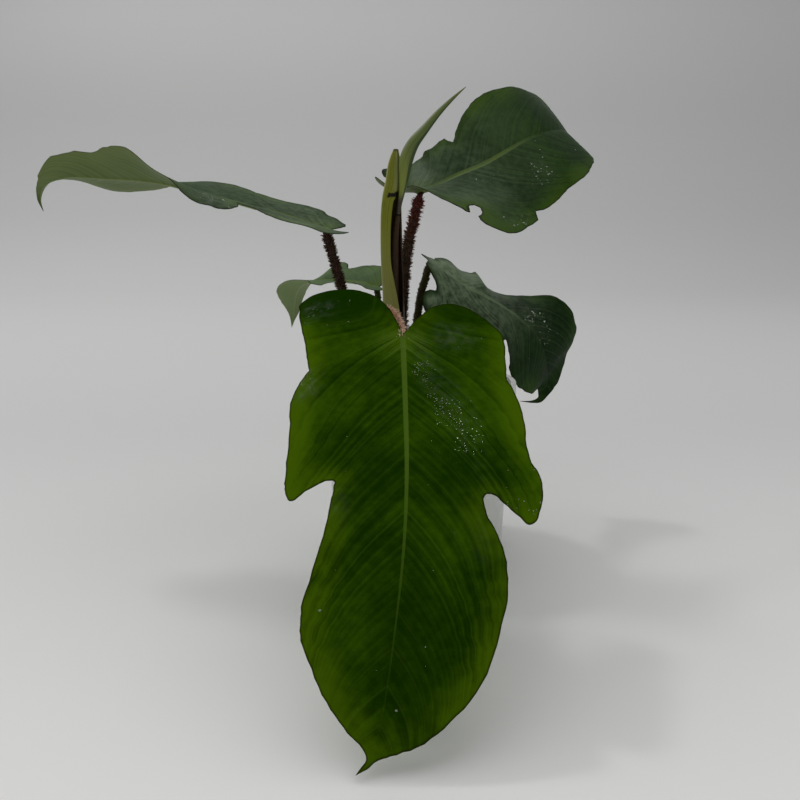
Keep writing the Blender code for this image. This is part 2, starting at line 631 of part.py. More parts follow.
def build_pot(finish):
    """The thin tapered pot with its rolled rim and a ring of drain holes."""
    under_rim = POT_HEIGHT - POT_RIM_DEPTH
    slope = (POT_TOP_RADIUS - POT_FOOT_RADIUS) / POT_HEIGHT
    inner_top = POT_TOP_RADIUS - POT_WALL
    profile = [
        (0, 0),
        (POT_FOOT_RADIUS - POT_ROUND, 0),
        (POT_FOOT_RADIUS, POT_ROUND),
        (POT_TOP_RADIUS - slope * POT_RIM_DEPTH, under_rim),
        (POT_RIM_RADIUS - POT_ROUND, under_rim),
        (POT_RIM_RADIUS, under_rim + POT_ROUND),
        (POT_RIM_RADIUS, POT_HEIGHT - POT_ROUND),
        (POT_RIM_RADIUS - POT_ROUND, POT_HEIGHT),
        (inner_top + POT_ROUND, POT_HEIGHT),
        (inner_top, POT_HEIGHT - POT_ROUND),
        (POT_FOOT_RADIUS - POT_WALL, POT_FLOOR),
        (0, POT_FLOOR),
    ]
    pot = add("pot", spin_profile(profile, POT_SEGMENTS), finish)
    holes = bmesh.new()
    for number in range(DRAIN_HOLES):
        turn = math.tau * (number + 0.5) / DRAIN_HOLES
        made = bmesh.ops.create_cone(holes, cap_ends=True, segments=DRAIN_SIDES, radius1=DRAIN_RADIUS,
                                     radius2=DRAIN_RADIUS, depth=POT_FLOOR * 4)
        bmesh.ops.translate(holes, verts=made["verts"],
                            vec=(DRAIN_RING_RADIUS * math.cos(turn), DRAIN_RING_RADIUS * math.sin(turn), 0))
    cut(pot, "drain_holes", holes, finish)


def main():
    for thing in list(bpy.data.objects):
        bpy.data.objects.remove(thing)
    leaf_finish = material("leaf", LEAF_GREEN, 0.38)
    petiole_finish = material("petiole", PETIOLE_MAROON, 0.6)
    for leaf in (FRONT_LEAF, RIGHT_LEAF, LEFT_LEAF, REAR_RIGHT_LEAF, REAR_LEFT_LEAF):
        build_blade(leaf, leaf_finish)
    for seed, (name, leaf, route) in enumerate(PETIOLE_ROUTES):
        build_petiole(name, leaf, route, petiole_finish, seed)
    build_sheath(material("sheath", SHEATH_GREEN, 0.5))
    build_spindle("new_petiole", NEW_PETIOLE_ROUTE, NEW_PETIOLE_SIDES, NEW_PETIOLE_RING, petiole_finish)
    build_spindle("spear", SPEAR_ROUTE, SPEAR_SIDES, SPEAR_RING, material("spear", SPEAR_GREEN, 0.4))
    build_stem(material("stem", STEM_BROWN, 0.7))
    build_soil(material("soil", SOIL_BROWN, 0.95))
    build_pot(material("pot", POT_WHITE, 0.4))


main()
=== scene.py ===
"""Young Philodendron squamiferum in a white nursery pot, dressed over its frame.

Metres, +Z up, the origin at the middle of the pot's underside and the front leaf hanging
towards -Y. Each blade is laid out flat, cut into a fine lattice, bent along its midrib and
given a wall that is thicker under the veins. Lengths in the tables are in millimetres.
"""

import logging
import math
import random
from collections.abc import Callable, Sequence
from dataclasses import dataclass
from enum import Enum

import bmesh
import bpy
import numpy as np
from mathutils import Matrix, Vector, noise


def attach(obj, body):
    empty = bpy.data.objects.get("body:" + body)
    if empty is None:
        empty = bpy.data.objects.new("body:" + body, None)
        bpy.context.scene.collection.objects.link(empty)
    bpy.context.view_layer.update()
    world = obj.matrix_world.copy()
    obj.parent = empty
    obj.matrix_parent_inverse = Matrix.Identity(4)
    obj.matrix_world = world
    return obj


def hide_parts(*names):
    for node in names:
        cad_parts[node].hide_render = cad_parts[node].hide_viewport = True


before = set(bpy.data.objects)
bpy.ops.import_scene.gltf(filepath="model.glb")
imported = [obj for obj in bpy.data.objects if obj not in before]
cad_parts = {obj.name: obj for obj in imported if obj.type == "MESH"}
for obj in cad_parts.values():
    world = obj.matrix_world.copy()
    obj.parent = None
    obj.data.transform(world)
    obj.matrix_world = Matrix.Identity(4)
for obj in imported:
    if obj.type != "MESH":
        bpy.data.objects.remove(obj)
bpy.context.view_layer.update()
LOG = logging.getLogger("plant")

MM = 0.001
BODY = "root"
NOISE_ROUGHNESS = 0.55
SOIL_SEED = 5
DROP_SEED = 7

Colour = tuple[float, float, float]


def linear(red: float, green: float, blue: float) -> Colour:
    """Turns a colour from 0 to 255, as it is seen, into the shader's linear one.

    Args:
        red: Red, 0 to 255.
        green: Green, 0 to 255.
        blue: Blue, 0 to 255.

    Returns:
        The linear colour.
    """
    def straight(part: float) -> float:
        """Undoes the display curve of one channel."""
        part /= 255
        return part / 12.92 if part <= 0.04045 else ((part + 0.055) / 1.055) ** 2.4
    return straight(red), straight(green), straight(blue)


# Shader expressions


@dataclass(eq=False)
class Flow:
    """A socket's value on its way through a graph's nodes, which can be reckoned with."""

    graph: "Graph"
    socket: bpy.types.NodeSocket

    def __add__(self, other: "Flow | float") -> "Flow":
        """The sum."""
        return self.graph.math("ADD", self, other)

    __radd__ = __add__

    def __mul__(self, other: "Flow | float") -> "Flow":
        """The product."""
        return self.graph.math("MULTIPLY", self, other)

    __rmul__ = __mul__

    def __truediv__(self, other: "Flow | float") -> "Flow":
        """The quotient."""
        return self.graph.math("DIVIDE", self, other)

    def step(self, low: float, high: float, start: float = 0.0, end: float = 1.0) -> "Flow":
        """A soft step from start at low to end at high.

        Args:
            low: Where the step begins.
            high: Where it ends.
            start: The value below the step.
            end: The value above it.

        Returns:
            The stepped value.
        """
        return self.graph.node("ShaderNodeMapRange", {"interpolation_type": "SMOOTHSTEP"},
                               {0: self, 1: low, 2: high, 3: start, 4: end})


class Graph:
    """One material and its nodes, around a Principled shader."""

    def __init__(self, name: str) -> None:
        """Starts a material.

        Args:
            name: The material's name.
        """
        self.material = bpy.data.materials.new(name)
        self.material.use_nodes = True
        self.tree = self.material.node_tree
        self.shader = self.tree.nodes["Principled BSDF"]

    def node(self, kind: str, settings: dict | None = None, values: dict | None = None,
             output: int | str = 0) -> Flow:
        """Adds a node.

        Args:
            kind: The node's type.
            settings: Its options, such as a Math node's operation.
            values: Numbers, colours or flows for its sockets, by place or name.
            output: The output to hand on.

        Returns:
            The output as a flow.
        """
        made = self.tree.nodes.new(kind)
        for name, value in (settings or {}).items():
            setattr(made, name, value)
        for place, value in (values or {}).items():
            self.put(made.inputs[place], value)
        return Flow(self, made.outputs[output])

    def put(self, socket: bpy.types.NodeSocket, value: "Flow | float | Sequence[float]") -> None:
        """Links a flow to a socket, or sets a number or colour on it.

        Args:
            socket: The input socket.
            value: What it gets.
        """
        if isinstance(value, Flow):
            self.tree.links.new(value.socket, socket)
        elif socket.type == "RGBA" and len(value) == 3:
            socket.default_value = (*value, 1)
        else:
            socket.default_value = value

    def math(self, operation: str, *values: "Flow | float") -> Flow:
        """A Math node on the values."""
        return self.node("ShaderNodeMath", {"operation": operation}, dict(enumerate(values)))

    def mix(self, factor: "Flow | float", low: "Flow | Colour", high: "Flow | Colour") -> Flow:
        """A colour between two.

        Args:
            factor: 0 for the first, 1 for the second.
            low: The first colour.
            high: The second colour.

        Returns:
            The mixed colour.
        """
        return self.node("ShaderNodeMix", {"data_type": "RGBA"}, {0: factor, 6: low, 7: high},
                         output=2)

    def attribute(self, name: str) -> Flow:
        """A number that each point of the piece carries."""
        return self.node("ShaderNodeAttribute", {"attribute_name": name}, output="Fac")

    def place(self) -> Flow:
        """The place in the piece's own space."""
        return self.node("ShaderNodeTexCoord", output="Object")

    def along(self, axis: str) -> Flow:
        """One coordinate of the place, by its letter."""
        return self.node("ShaderNodeSeparateXYZ", None, {0: self.place()}, output=axis)

    def grain(self, scale: float, detail: float, along: Flow | None = None) -> Flow:
        """Soft noise from 0 to 1.

        Args:
            scale: Its pitch, in waves per metre or per unit of along.
            detail: Its octaves.
            along: A single value that it is read on, instead of the place.

        Returns:
            The noise.
        """
        values = {"Scale": scale, "Detail": detail, "Roughness": NOISE_ROUGHNESS}
        if along is None:
            return self.node("ShaderNodeTexNoise", None, {"Vector": self.place(), **values})
        return self.node("ShaderNodeTexNoise", {"noise_dimensions": "1D"}, {"W": along, **values})

    def bump(self, height: Flow, depth: float, strength: float) -> Flow:
        """A relief of so many metres from a height of 0 to 1."""
        return self.node("ShaderNodeBump", None,
                         {"Height": height, "Distance": depth, "Strength": strength})

    def finish(self, **sockets: "Flow | float | Sequence[float]") -> bpy.types.Material:
        """Sets the shader's sockets, named with underscores for spaces.

        Args:
            **sockets: What each socket gets.

        Returns:
            The material.
        """
        for name, value in sockets.items():
            self.put(self.shader.inputs[name.replace("_", " ")], value)
        return self.material


# Forms, in mm


@dataclass(frozen=True)
class Leaf:
    """One blade, in mm from the origin, with its outline laid flat along the midrib.

    midrib runs from the petiole to the tip. At each of its points, face is the way the upper
    side looks, curl how fast the right and the left half roll under in radians per metre, and
    fold how far the halves rise from the midrib in degrees. right and left are the halves'
    outlines, across and along the midrib, as smooth runs. Each run starts at the corner where
    the one before it ends. lobe_bend is how fast the lobes behind the petiole bend under, in
    radians per metre, and ragged is how far the margin strays, in mm.
    """

    name: str
    midrib: tuple
    face: tuple
    curl: tuple
    fold: tuple
    right: tuple
    left: tuple
    lobe_bend: float
    ragged: float = 0.7


FRONT_LEAF = Leaf(
    name="blade_front",
    midrib=((-10.5, -89, 151), (-9.5, -128, 126), (-9, -162, 102), (-10.5, -188, 75.5),
            (-14.5, -210, 46.5), (-18.5, -224, 24.5), (-23, -231, 8.5), (-29, -234, 3)),
    face=((0.06, -0.6, 0.8), (0.04, -0.6, 0.8), (0.01, -0.7, 0.7), (0, -0.7, 0.7), (-0.01, -0.9, 0.5),
          (0, -0.9, 0.5), (0, -1, 0.3), (0, -1, 0.3)),
    curl=((3, 0), (3, 1), (4, 2), (3, 2), (3, 2), (3, 2), (3, 3), (3, 3)),
    fold=(-3, -2, -1, 1, 0, 0, 0, 0),
    right=(
        ((0, -2), (4, -16), (9, -30), (17, -42), (28, -50), (40, -52), (50, -48),
         (57, -38), (56, -24), (53, -5), (50, 12), (48, 22)),
        ((53, 32), (56, 44), (55.5, 66), (56, 88), (55, 98), (52.5, 103), (49.5, 103),
         (45, 98.5), (38, 94), (33.5, 93), (32, 94.5)),
        ((33, 103), (35, 122), (39, 148), (39, 162), (35, 173),
         (25, 189), (14, 200), (5, 206), (1.7, 209.5), (1.1, 213), (0, 217)),
    ),
    left=(
        ((0, -2), (5, -10), (10, -19), (16, -27), (24, -33), (32, -33), (42, -25),
         (50, -13), (54, -4), (53, 15), (52, 29)),
        ((55, 38), (57, 55), (56.5, 76), (60, 87), (61, 98), (58.5, 107), (55.5, 111),
         (52, 111), (46, 105), (40, 100), (36, 99), (34, 101.5)),
        ((36, 110), (42, 122), (45, 137), (43, 152), (39, 171),
         (29, 187), (18, 198), (7, 205), (2.2, 208.5), (1.1, 212), (0, 217)),
    ),
    lobe_bend=5,
)

RIGHT_LEAF = Leaf(
    name="blade_right",
    midrib=((-1, 22, 226.5), (13.5, 21, 232), (27, 25, 238), (42.5, 33.5, 244.5), (58.5, 43.5, 253.5),
            (74, 55, 262), (89.5, 67, 267.5), (102.5, 85, 269.5), (112.5, 107, 263.5), (117.3, 126, 251.5),
            (115, 139, 242)),
    face=((0, -0.2, 0.96), (0.1, -0.43, 0.87), (0.21, -0.57, 0.77), (0.32, -0.64, 0.67),
          (0.39, -0.69, 0.59), (0.4, -0.69, 0.55), (0.42, -0.58, 0.55), (0.62, -0.31, 0.69),
          (0.81, -0.11, 0.59), (0.9, 0, 0.4), (1, 0, 0.2)),
    curl=((7, 2), (8, 3), (8, 5), (7, 5), (6, 4), (4, 3), (2, 3), (2, 2), (3, 2), (3, 2), (3, 3)),
    fold=(25, 16, 7, 3, 2, 3, 4, 5, 4, 3, 3),
    right=(
        ((0, -2), (4, -6), (7, -16), (8, -27), (12, -33), (18, -29), (21, -13), (24, 2),
         (35, 11), (44, 15.5), (46.5, 17), (43, 18), (38, 19), (35.5, 21)),
        ((38, 22.5), (44, 21.5), (50, 19.5), (55, 20), (57, 26), (55.5, 35), (52, 47),
         (50, 56)),
        ((47, 57), (44, 58)),
        ((46, 65), (46, 76), (43.5, 90), (41, 108), (36.5, 121), (31, 132),
         (23, 147), (13, 168), (6, 183), (2, 192), (0, 200)),
    ),
    left=(
        ((0, -2), (7, -6), (13, -16), (13, -26), (18, -30), (25, -24), (28, -10), (33, 4),
         (31, 17), (29, 26), (30, 32), (31, 39)),
        ((28, 40), (25, 42)),
        ((31, 50), (38, 64), (42, 79), (41, 95), (38, 112)),
        ((34, 126), (33, 140), (26, 155), (17, 171), (7, 184),
         (2, 193), (0, 200)),
    ),
    lobe_bend=-38,
)

LEFT_LEAF = Leaf(
    name="blade_left",
    midrib=((-56, 0, 204), (-67, 1, 207.5), (-79.5, 5, 211.5), (-92.5, 9, 215), (-105, 10, 218),
            (-120, 10, 222), (-135, 8, 225.5), (-153, 7, 230.5), (-172, 10, 233), (-196, 17, 234.5),
            (-219, 20, 235.5), (-236.6, 26, 231.5), (-243.4, 30, 223), (-241, 28, 214.5)),
    face=((0, -0.1, 1), (0.01, -0.08, 1), (0.02, -0.08, 1), (0.03, -0.08, 1), (0.02, -0.12, 1),
          (0.01, -0.13, 1), (0.01, -0.06, 1), (0.03, 0.09, 0.97), (0.01, 0.39, 0.98),
          (0, 0.48, 0.89), (-0.11, 0.41, 0.88), (-0.83, 0.25, 0.59), (-1, 0.17, 0.09),
          (-1, 0.18, -0.31)),
    curl=((0, 6), (0, 5), (0, 7), (1, 6), (4, 11), (4, 10), (4, 14), (4, 6), (3, -5), (3, -3),
          (3, -3), (3, -2), (4, -1), (4, -1)),
    fold=(8, 8, 8, 8, 12, 12, 13, 13, 15, 14, 15, 14, 11, 10),
    right=(
        ((0, -2), (5, -5), (12, -9), (19, -6), (26, 3), (28, 20), (28, 37),
         (28, 46), (26, 55)),
        ((31, 62), (37, 72), (41, 85), (42, 95), (39, 103)),
        ((32, 101), (25, 102)),
        ((25, 112), (27, 124), (27.5, 136), (26.5, 149), (23.5, 162), (18, 174),
         (12, 185), (5, 194), (2, 200), (0, 208)),
    ),
    left=(
        ((0, -2), (4, -8), (12, -14), (20, -13), (27, -5), (28, 7), (26, 18),
         (23, 29), (20, 42)),
        ((18, 50), (13, 57)),
        ((25, 54), (36, 57), (42, 66), (41, 78), (37, 88)),
        ((33, 92), (27, 96)),
        ((27, 103), (29.5, 112), (26.5, 126), (21, 141), (20.2, 157),
         (16.8, 172), (8, 185), (3.0, 196), (0, 208)),
    ),
    lobe_bend=-23,
    ragged=1.1,
)

REAR_RIGHT_LEAF = Leaf(
    name="blade_rear_right",
    midrib=((8, 27, 182.5), (20, 31, 175), (32.5, 35, 166), (45, 38, 159.5), (57.5, 44, 152),
            (69, 47, 144), (80, 49, 134), (88, 53, 121.5), (92.5, 60, 107.5), (95, 69, 92.5),
            (91.5, 69, 81.5), (85, 68, 79.5), (75, 66, 80.5)),
    face=((0.1, -0.26, 0.95), (0.11, -0.4, 0.85), (0.16, -0.42, 0.81), (0.23, -0.54, 0.74),
          (0.28, -0.45, 0.73), (0.28, -0.56, 0.62), (0.26, -0.75, 0.45), (0.25, -0.76, 0.42),
          (0.29, -0.72, 0.38), (0.33, -0.75, 0.3), (0.13, -0.92, 0.05), (-0.02, -0.95, -0.26),
          (-0.04, -0.86, -0.47)),
    curl=((30, 8), (30, 9), (22, 13), (10, 14), (5, 16), (5, 11), (4, 3), (2, 2), (0, 4), (0, 4), (0, 3),
          (1, 3), (1, 3)),
    fold=(0, 0, -1, -1, -4, -1, 3, 4, 5, 6, 6, 6, 6),
    right=(
        ((0, -2), (5, -4), (10, -4), (15, 0), (19, 5), (23, 7)),
        ((28, 2), (33, -1), (38, 2), (40, 10), (40, 22), (39, 36), (40, 50), (38, 61), (34, 66)),
        ((30, 67), (26, 70)),
        ((29, 82), (34, 95), (35, 108), (30, 120), (20, 132),
         (8, 144), (2, 157), (0, 169)),
    ),
    left=(
        ((0, -2), (3, -5), (7, -6), (11, -2), (12, 2), (12, 5)),
        ((19, 9), (27, 21), (31, 34)),
        ((28.5, 37), (31, 40)),
        ((34, 47), (33, 55), (31, 59)),
        ((27, 59), (23, 60)),
        ((24, 70), (32, 85), (36, 97), (34, 111), (23, 127),
         (10, 138), (3, 147), (1, 157), (0, 169)),
    ),
    lobe_bend=0,
    ragged=1.2,
)

REAR_LEFT_LEAF = Leaf(
    name="blade_rear_left",
    midrib=((-28, 54, 164.5), (-36, 58, 166.5), (-47, 67, 167), (-57, 74, 167), (-66.5, 77, 167),
            (-75.5, 80.8, 166), (-84, 89.5, 162.5), (-89.5, 97, 155), (-91.5, 101, 145.5),
            (-92.5, 101, 137.5), (-93.5, 99, 129.5)),
    face=((-0.08, -0.31, 0.94), (-0.05, -0.24, 0.96), (-0.06, -0.27, 0.96), (-0.05, -0.3, 0.95),
          (-0.02, -0.22, 0.96), (0.01, -0.05, 0.98), (-0.24, 0.32, 0.99), (-0.54, 0.63, 0.6),
          (-0.48, 0.81, 0.2), (-0.39, 0.9, 0), (-0.39, 0.9, -0.1)),
    curl=((0, 2), (0, 2), (0, 3), (1, 4), (2, 4), (3, 4), (4, 3), (4, 3), (4, 4), (4, 4), (4, 4)),
    fold=(19, 18, 16, 14, 11, 10, 9, 8, 8, 7, 7),
    right=(
        ((0, -2), (6, -5), (14, -6), (19, -2), (20, 6), (20, 18), (18, 27),
         (15, 34)),
        ((22, 38), (26, 43), (24, 48), (19, 52)),
        ((13, 54), (7, 58)),
        ((10, 70), (10, 81), (7, 89), (5, 96), (2, 102), (0, 109)),
    ),
    left=(
        ((0, -2), (3, -6), (9, -9), (15, -8), (17, -2), (16, 5), (14, 11),
         (11, 20)),
        ((14, 25), (16, 31), (21, 40), (20, 48)),
        ((16, 50), (13, 52)),
        ((12, 56), (15, 66), (17, 77), (11, 87), (5, 96),
         (2, 102), (0, 109)),
    ),
    lobe_bend=-13,
)

# Each petiole's route from the stem, in mm. Its end lies under its leaf's midrib.
PETIOLE_ROUTES = (
    ("petiole_front", FRONT_LEAF,
     ((-14, -4.8, 112), (-14.5, -11, 114.5), (-19, -26, 147), (-19, -40, 157), (-15, -58, 156),
      (-12, -74, 150))),
    ("petiole_right", RIGHT_LEAF,
     ((-9.1, 11.5, 108), (-8.2, 14.2, 113), (-9.2, 15, 130), (-10.8, 16, 146), (-9.6, 17.5, 170),
      (-6.7, 19.5, 195), (-2.4, 21, 212))),
    ("petiole_left", LEFT_LEAF,
     ((-23, 4, 109), (-28, 5, 114), (-36, 4, 131), (-43, 3, 150), (-48.4, 2, 168), (-52.8, 1, 185))),
    ("petiole_rear_right", REAR_RIGHT_LEAF,
     ((-13.1, 11.6, 102), (-10.5, 17.5, 107), (-4, 24.5, 125), (-0.6, 27, 146), (1.4, 27.5, 160),
      (4.4, 27, 171))),
    ("petiole_rear_left", REAR_LEFT_LEAF,
     ((-19.6, 9.6, 104), (-23, 16, 109), (-27, 32, 125), (-28.5, 46, 142), (-27, 51, 153))),
)

# Centre, half width and half opening angle of the sheath by height, in mm and degrees.
SHEATH_SECTIONS = (
    (-14, 3, 122.4, 5.9, 6), (-14.6, 2, 136, 6.2, 8), (-15.6, 1, 150, 6.3, 8), (-16.4, 0, 167, 6.2, 28),
    (-17.1, 0, 183, 6.2, 48), (-17.5, 0, 197, 6.1, 48), (-17.6, 0, 210, 5.8, 42),
    (-17.3, 0, 219, 5.5, 34), (-16.8, 0, 226, 5.0, 8), (-15.9, 0, 233, 4.4, 5),
    (-15.5, 0, 241, 3.5, 6), (-15.0, 0, 246, 2.5, 8), (-14.4, 0, 250.5, 1.0, 14),
)

# Centre and radius of the new leaf's petiole and of its rolled blade, in mm.
NEW_PETIOLE_ROUTE = (
    (-14, 3, 122.6, 3.2), (-14.8, 1.6, 145, 3.1), (-15.6, 0.4, 170, 3.0), (-15.6, 0, 190, 2.7),
    (-14.6, -0.9, 203, 2.0), (-13.2, -2.2, 212, 1.5),
)
SPEAR_ROUTE = (
    (-13.0, -2.6, 212.9, 1.4), (-12.1, -3.9, 219, 1.6), (-10.6, -5.2, 226, 2.1),
    (-9.4, -5.9, 234.5, 3.3), (-8.1, -5.8, 244, 4.5), (-4.2, -5.4, 253, 4.0), (2.8, -5, 261.5, 2.9),
    (10.5, -4.2, 270.5, 2.0), (19, -3.2, 278.8, 1.1), (26.5, -2.4, 285.2, 0.25),
)


def smooth(rows: Sequence, steps: int) -> np.ndarray:
    """Rows along a Catmull-Rom curve through the given rows.

    Args:
        rows: The rows that the curve passes.
        steps: Steps between two of them.

    Returns:
        The rows of the curve.
    """
    rows = np.asarray(rows, float)
    rows = np.vstack([2 * rows[0] - rows[1], rows, 2 * rows[-1] - rows[-2]])
    found = []
    for before, start, end, after in zip(rows, rows[1:], rows[2:], rows[3:]):
        for t in np.arange(steps) / steps:
            found.append(0.5 * (2 * start + (end - before) * t
                                + (2 * before - 5 * start + 4 * end - after) * t ** 2
                                + (3 * start - before - 3 * end + after) * t ** 3))
    found.append(rows[-2])
    return np.array(found)


def even(rows: np.ndarray, spacing: float) -> np.ndarray:
    """Rows about so far apart on the smooth route through the given rows.

    Args:
        rows: Rows that start with x, y and z.
        spacing: The distance between two rows.

    Returns:
        The evenly spaced rows.
    """
    dense = smooth(rows, 16)
    steps = np.linalg.norm(np.diff(dense[:, :3], axis=0), axis=1)
    reach = np.concatenate([[0], np.cumsum(steps)])
    stops = np.linspace(0, reach[-1], max(2, round(reach[-1] / spacing) + 1))
    return np.column_stack([np.interp(stops, reach, column) for column in dense.T])


def unit(vectors: np.ndarray) -> np.ndarray:
    """The vectors at length one."""
    return vectors / np.linalg.norm(vectors, axis=-1, keepdims=True)


# Pieces


class Slot(Enum):
    """What a piece is made of."""

    LEAF = "leaf"
    PETIOLE = "petiole"
    SHEATH = "sheath"
    SPEAR = "spear"
    STEM = "stem"
    SOIL = "soil"
    POT = "pot"


def bake(name: str, shape: bmesh.types.BMesh) -> bpy.types.Mesh:
    """Turns a bmesh, which is freed, into a mesh.

    Args:
        name: The mesh's name.
        shape: The bmesh.

    Returns:
        The mesh.
    """
    mesh = bpy.data.meshes.new(name)
    shape.to_mesh(mesh)
    shape.free()
    return mesh


def link(name: str, data: bpy.types.ID) -> bpy.types.Object:
    """Puts a new object that shows the data in the scene.

    Args:
        name: The object's name.
        data: The mesh, light or camera that it shows.

    Returns:
        The object.
    """
    made = bpy.data.objects.new(name, data)
    bpy.context.scene.collection.objects.link(made)
    return made


def publish(name: str, shape: bmesh.types.BMesh, finishes: Sequence[bpy.types.Material],
            slot: Slot | None, *nodes: str, crease_deg: float) -> bpy.types.Object:
    """Puts a bmesh in the scene as one piece of the plant.

    Args:
        name: The piece's name.
        shape: Its faces, which are freed.
        finishes: Its materials, by index.
        slot: What it is made of, if it is a slot of the record; not used.
        *nodes: The frame's nodes that it takes the place of.
        crease_deg: Edges sharper than this stay sharp.

    Returns:
        The object.
    """
    mesh = bake(name, shape)
    mesh.shade_smooth()
    mesh.set_sharp_from_angle(angle=math.radians(crease_deg))
    for finish in finishes:
        mesh.materials.append(finish)
    piece = link(name, mesh)
    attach(piece, BODY)
    if nodes:
        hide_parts(*nodes)
    LOG.info("%s: %d faces", name, len(mesh.polygons))
    return piece


def carve(piece: bpy.types.Object, shape: bmesh.types.BMesh) -> None:
    """Takes a shape out of a piece for good.

    Args:
        piece: The piece.
        shape: The closed shape, which is freed.
    """
    cutter = link("cutter", bake("cutter", shape))
    boolean = piece.modifiers.new("holes", "BOOLEAN")
    boolean.operation = "DIFFERENCE"
    boolean.object = cutter
    graph = bpy.context.evaluated_depsgraph_get()
    carved = bpy.data.meshes.new_from_object(piece.evaluated_get(graph))
    piece.modifiers.clear()
    piece.data = carved
    bpy.data.meshes.remove(cutter.data)


def thinned(count: int) -> int:
    return count // 1


def facing(spot: Sequence[float], way: Sequence[float]) -> Matrix:
    """The matrix that puts a shape at a spot with its Z axis along a way."""
    return Matrix.Translation(spot) @ Vector(way).to_track_quat("Z", "Y").to_matrix().to_4x4()


def add_small(shape: bmesh.types.BMesh, items: Sequence, batch: int,
              add: Callable[[bmesh.types.BMesh, object], None], marks: Sequence[str] = ()) -> None:
    """Adds many small shapes in batches, since an operator slows down as its bmesh grows.

    Args:
        shape: The bmesh that they end up in.
        items: One thing for each shape.
        batch: How many are made together.
        add: Adds the shape for an item to a bmesh.
        marks: Names of the number layers that the shapes carry.
    """
    for start in range(0, len(items), batch):
        part = bmesh.new()
        for name in marks:
            part.verts.layers.float.new(name)
        for item in items[start:start + batch]:
            add(part, item)
        mesh = bake("batch", part)
        shape.from_mesh(mesh)
        bpy.data.meshes.remove(mesh)


def loft(rings: Sequence[np.ndarray], marks: dict[str, np.ndarray] | None = None,
         closed: bool = True) -> bmesh.types.BMesh:
    """Extrudes a ring of points from place to place, with its normals outward.

    Args:
        rings: The points of each ring.
        marks: Named numbers, as ring by point or as ring by one.
        closed: Whether the ring joins up, which also fills both ends.

    Returns:
        The bmesh.
    """
    shape = bmesh.new()
    layers = {name: shape.verts.layers.float.new(name) for name in marks or {}}
    verts = [shape.verts.new(point) for point in rings[0]]
    pairs = list(zip(verts, verts[1:] + (verts[:1] if closed else [])))
    edges = [shape.edges.new(pair) for pair in pairs]
    ends = [list(edges)]
    table = [verts]
    for ring in rings[1:]:
        order = {tuple(vert.co): number for number, vert in enumerate(verts)}
        grown = bmesh.ops.extrude_edge_only(shape, edges=edges)["geom"]
        verts = sorted((item for item in grown if isinstance(item, bmesh.types.BMVert)),
                       key=lambda vert: order[tuple(vert.co)])
        edges = [shape.edges.get(pair)
                 for pair in zip(verts, verts[1:] + (verts[:1] if closed else []))]
        for vert, point in zip(verts, ring):
            vert.co = point
        table.append(verts)
    if closed:
        ends.append(list(edges))
        for end in ends:
            bmesh.ops.edgeloop_fill(shape, edges=end)
    for name, layer in layers.items():
        for row, values in zip(table, marks[name]):
            for vert, value in zip(row, np.broadcast_to(values, len(row))):
                vert[layer] = value
    bmesh.ops.recalc_face_normals(shape, faces=shape.faces)
    return shape


def hoops(rows: np.ndarray, turns: np.ndarray, radii: np.ndarray) -> np.ndarray:
    """Rings of points square to a route.

    Args:
        rows: The route's points, in metres.
        turns: The angle of each point of a ring, alike for all rings or as ring by point.
        radii: The radius, as ring by point.

    Returns:
        The points, as ring by point by coordinate.
    """
    ahead = unit(np.gradient(rows, axis=0))
    side = np.array([1.0, 0.0, 0.0])
    found = []
    for centre, direction, turn, radius in zip(rows, ahead, np.broadcast_to(turns, radii.shape), radii):
        side = unit(side - direction * (side @ direction))
        other = np.cross(direction, side)
        found.append(centre + radius[:, None] * (np.cos(turn)[:, None] * side
                                                 + np.sin(turn)[:, None] * other))
    return np.array(found)


# Blades


@dataclass(frozen=True)
class BladeSize:
    """Sizes shared by all blades, in metres."""

    cell: float = 0.0014
    quick_cell: float = 2.5
    outline_steps: int = 5
    lift: float = 0.00025
    wall: float = 0.00045
    edge_wall: float = 0.00030
    rib_depth: float = 0.0016
    rib_width: float = 0.0012
    rib_start: float = 0.004
    rib_tip: float = 0.12
    rib_edge: float = 0.002
    vein_depth: float = 0.00022
    vein_part: float = 0.09
    quilt: float = 0.00014
    quilt_start: float = 0.006
    pucker: float = 3.5
    pucker_reach: float = 0.022
    ripples: int = 4
    ripple: float = 0.00001
    ripple_start: float = 0.010
    wave: float = 0.0006
    wave_start: float = 0.012
    wave_pitch: float = 38.0
    groove: float = 0.00030
    fade: float = 0.006
    rib_columns: tuple[float, ...] = (0.0, 0.00045, 0.0010, 0.0018)


# How the side veins run: their slope to the midrib, how far they sweep forward near the margin,
# their number along the blade, and how densely they fan out in the lobes and from how far.
VEIN_SLOPE = 1.05
VEIN_SWEEP = 0.16
VEINS = 15
FAN_VEINS = 3.4
FAN_CORE = 0.05

# How the margin wanders: its coarse and fine waves per metre, the fine ones' share, and how far
# from the midrib it starts.
WANDER_PITCH = 130
RUFFLE_PITCH = 420
RUFFLE_SHARE = 0.6
WANDER_START = 0.006

# How steeply the breadth falls off across a notch, and the least breadth, in metres, and the
# least curl and bend, in radians per metre, that are worked with.
NOTCH_SLOPE = 0.55
LEAST_BREADTH = 0.0015
LEAST_CURL = 0.01
LEAST_BEND = 1e-6


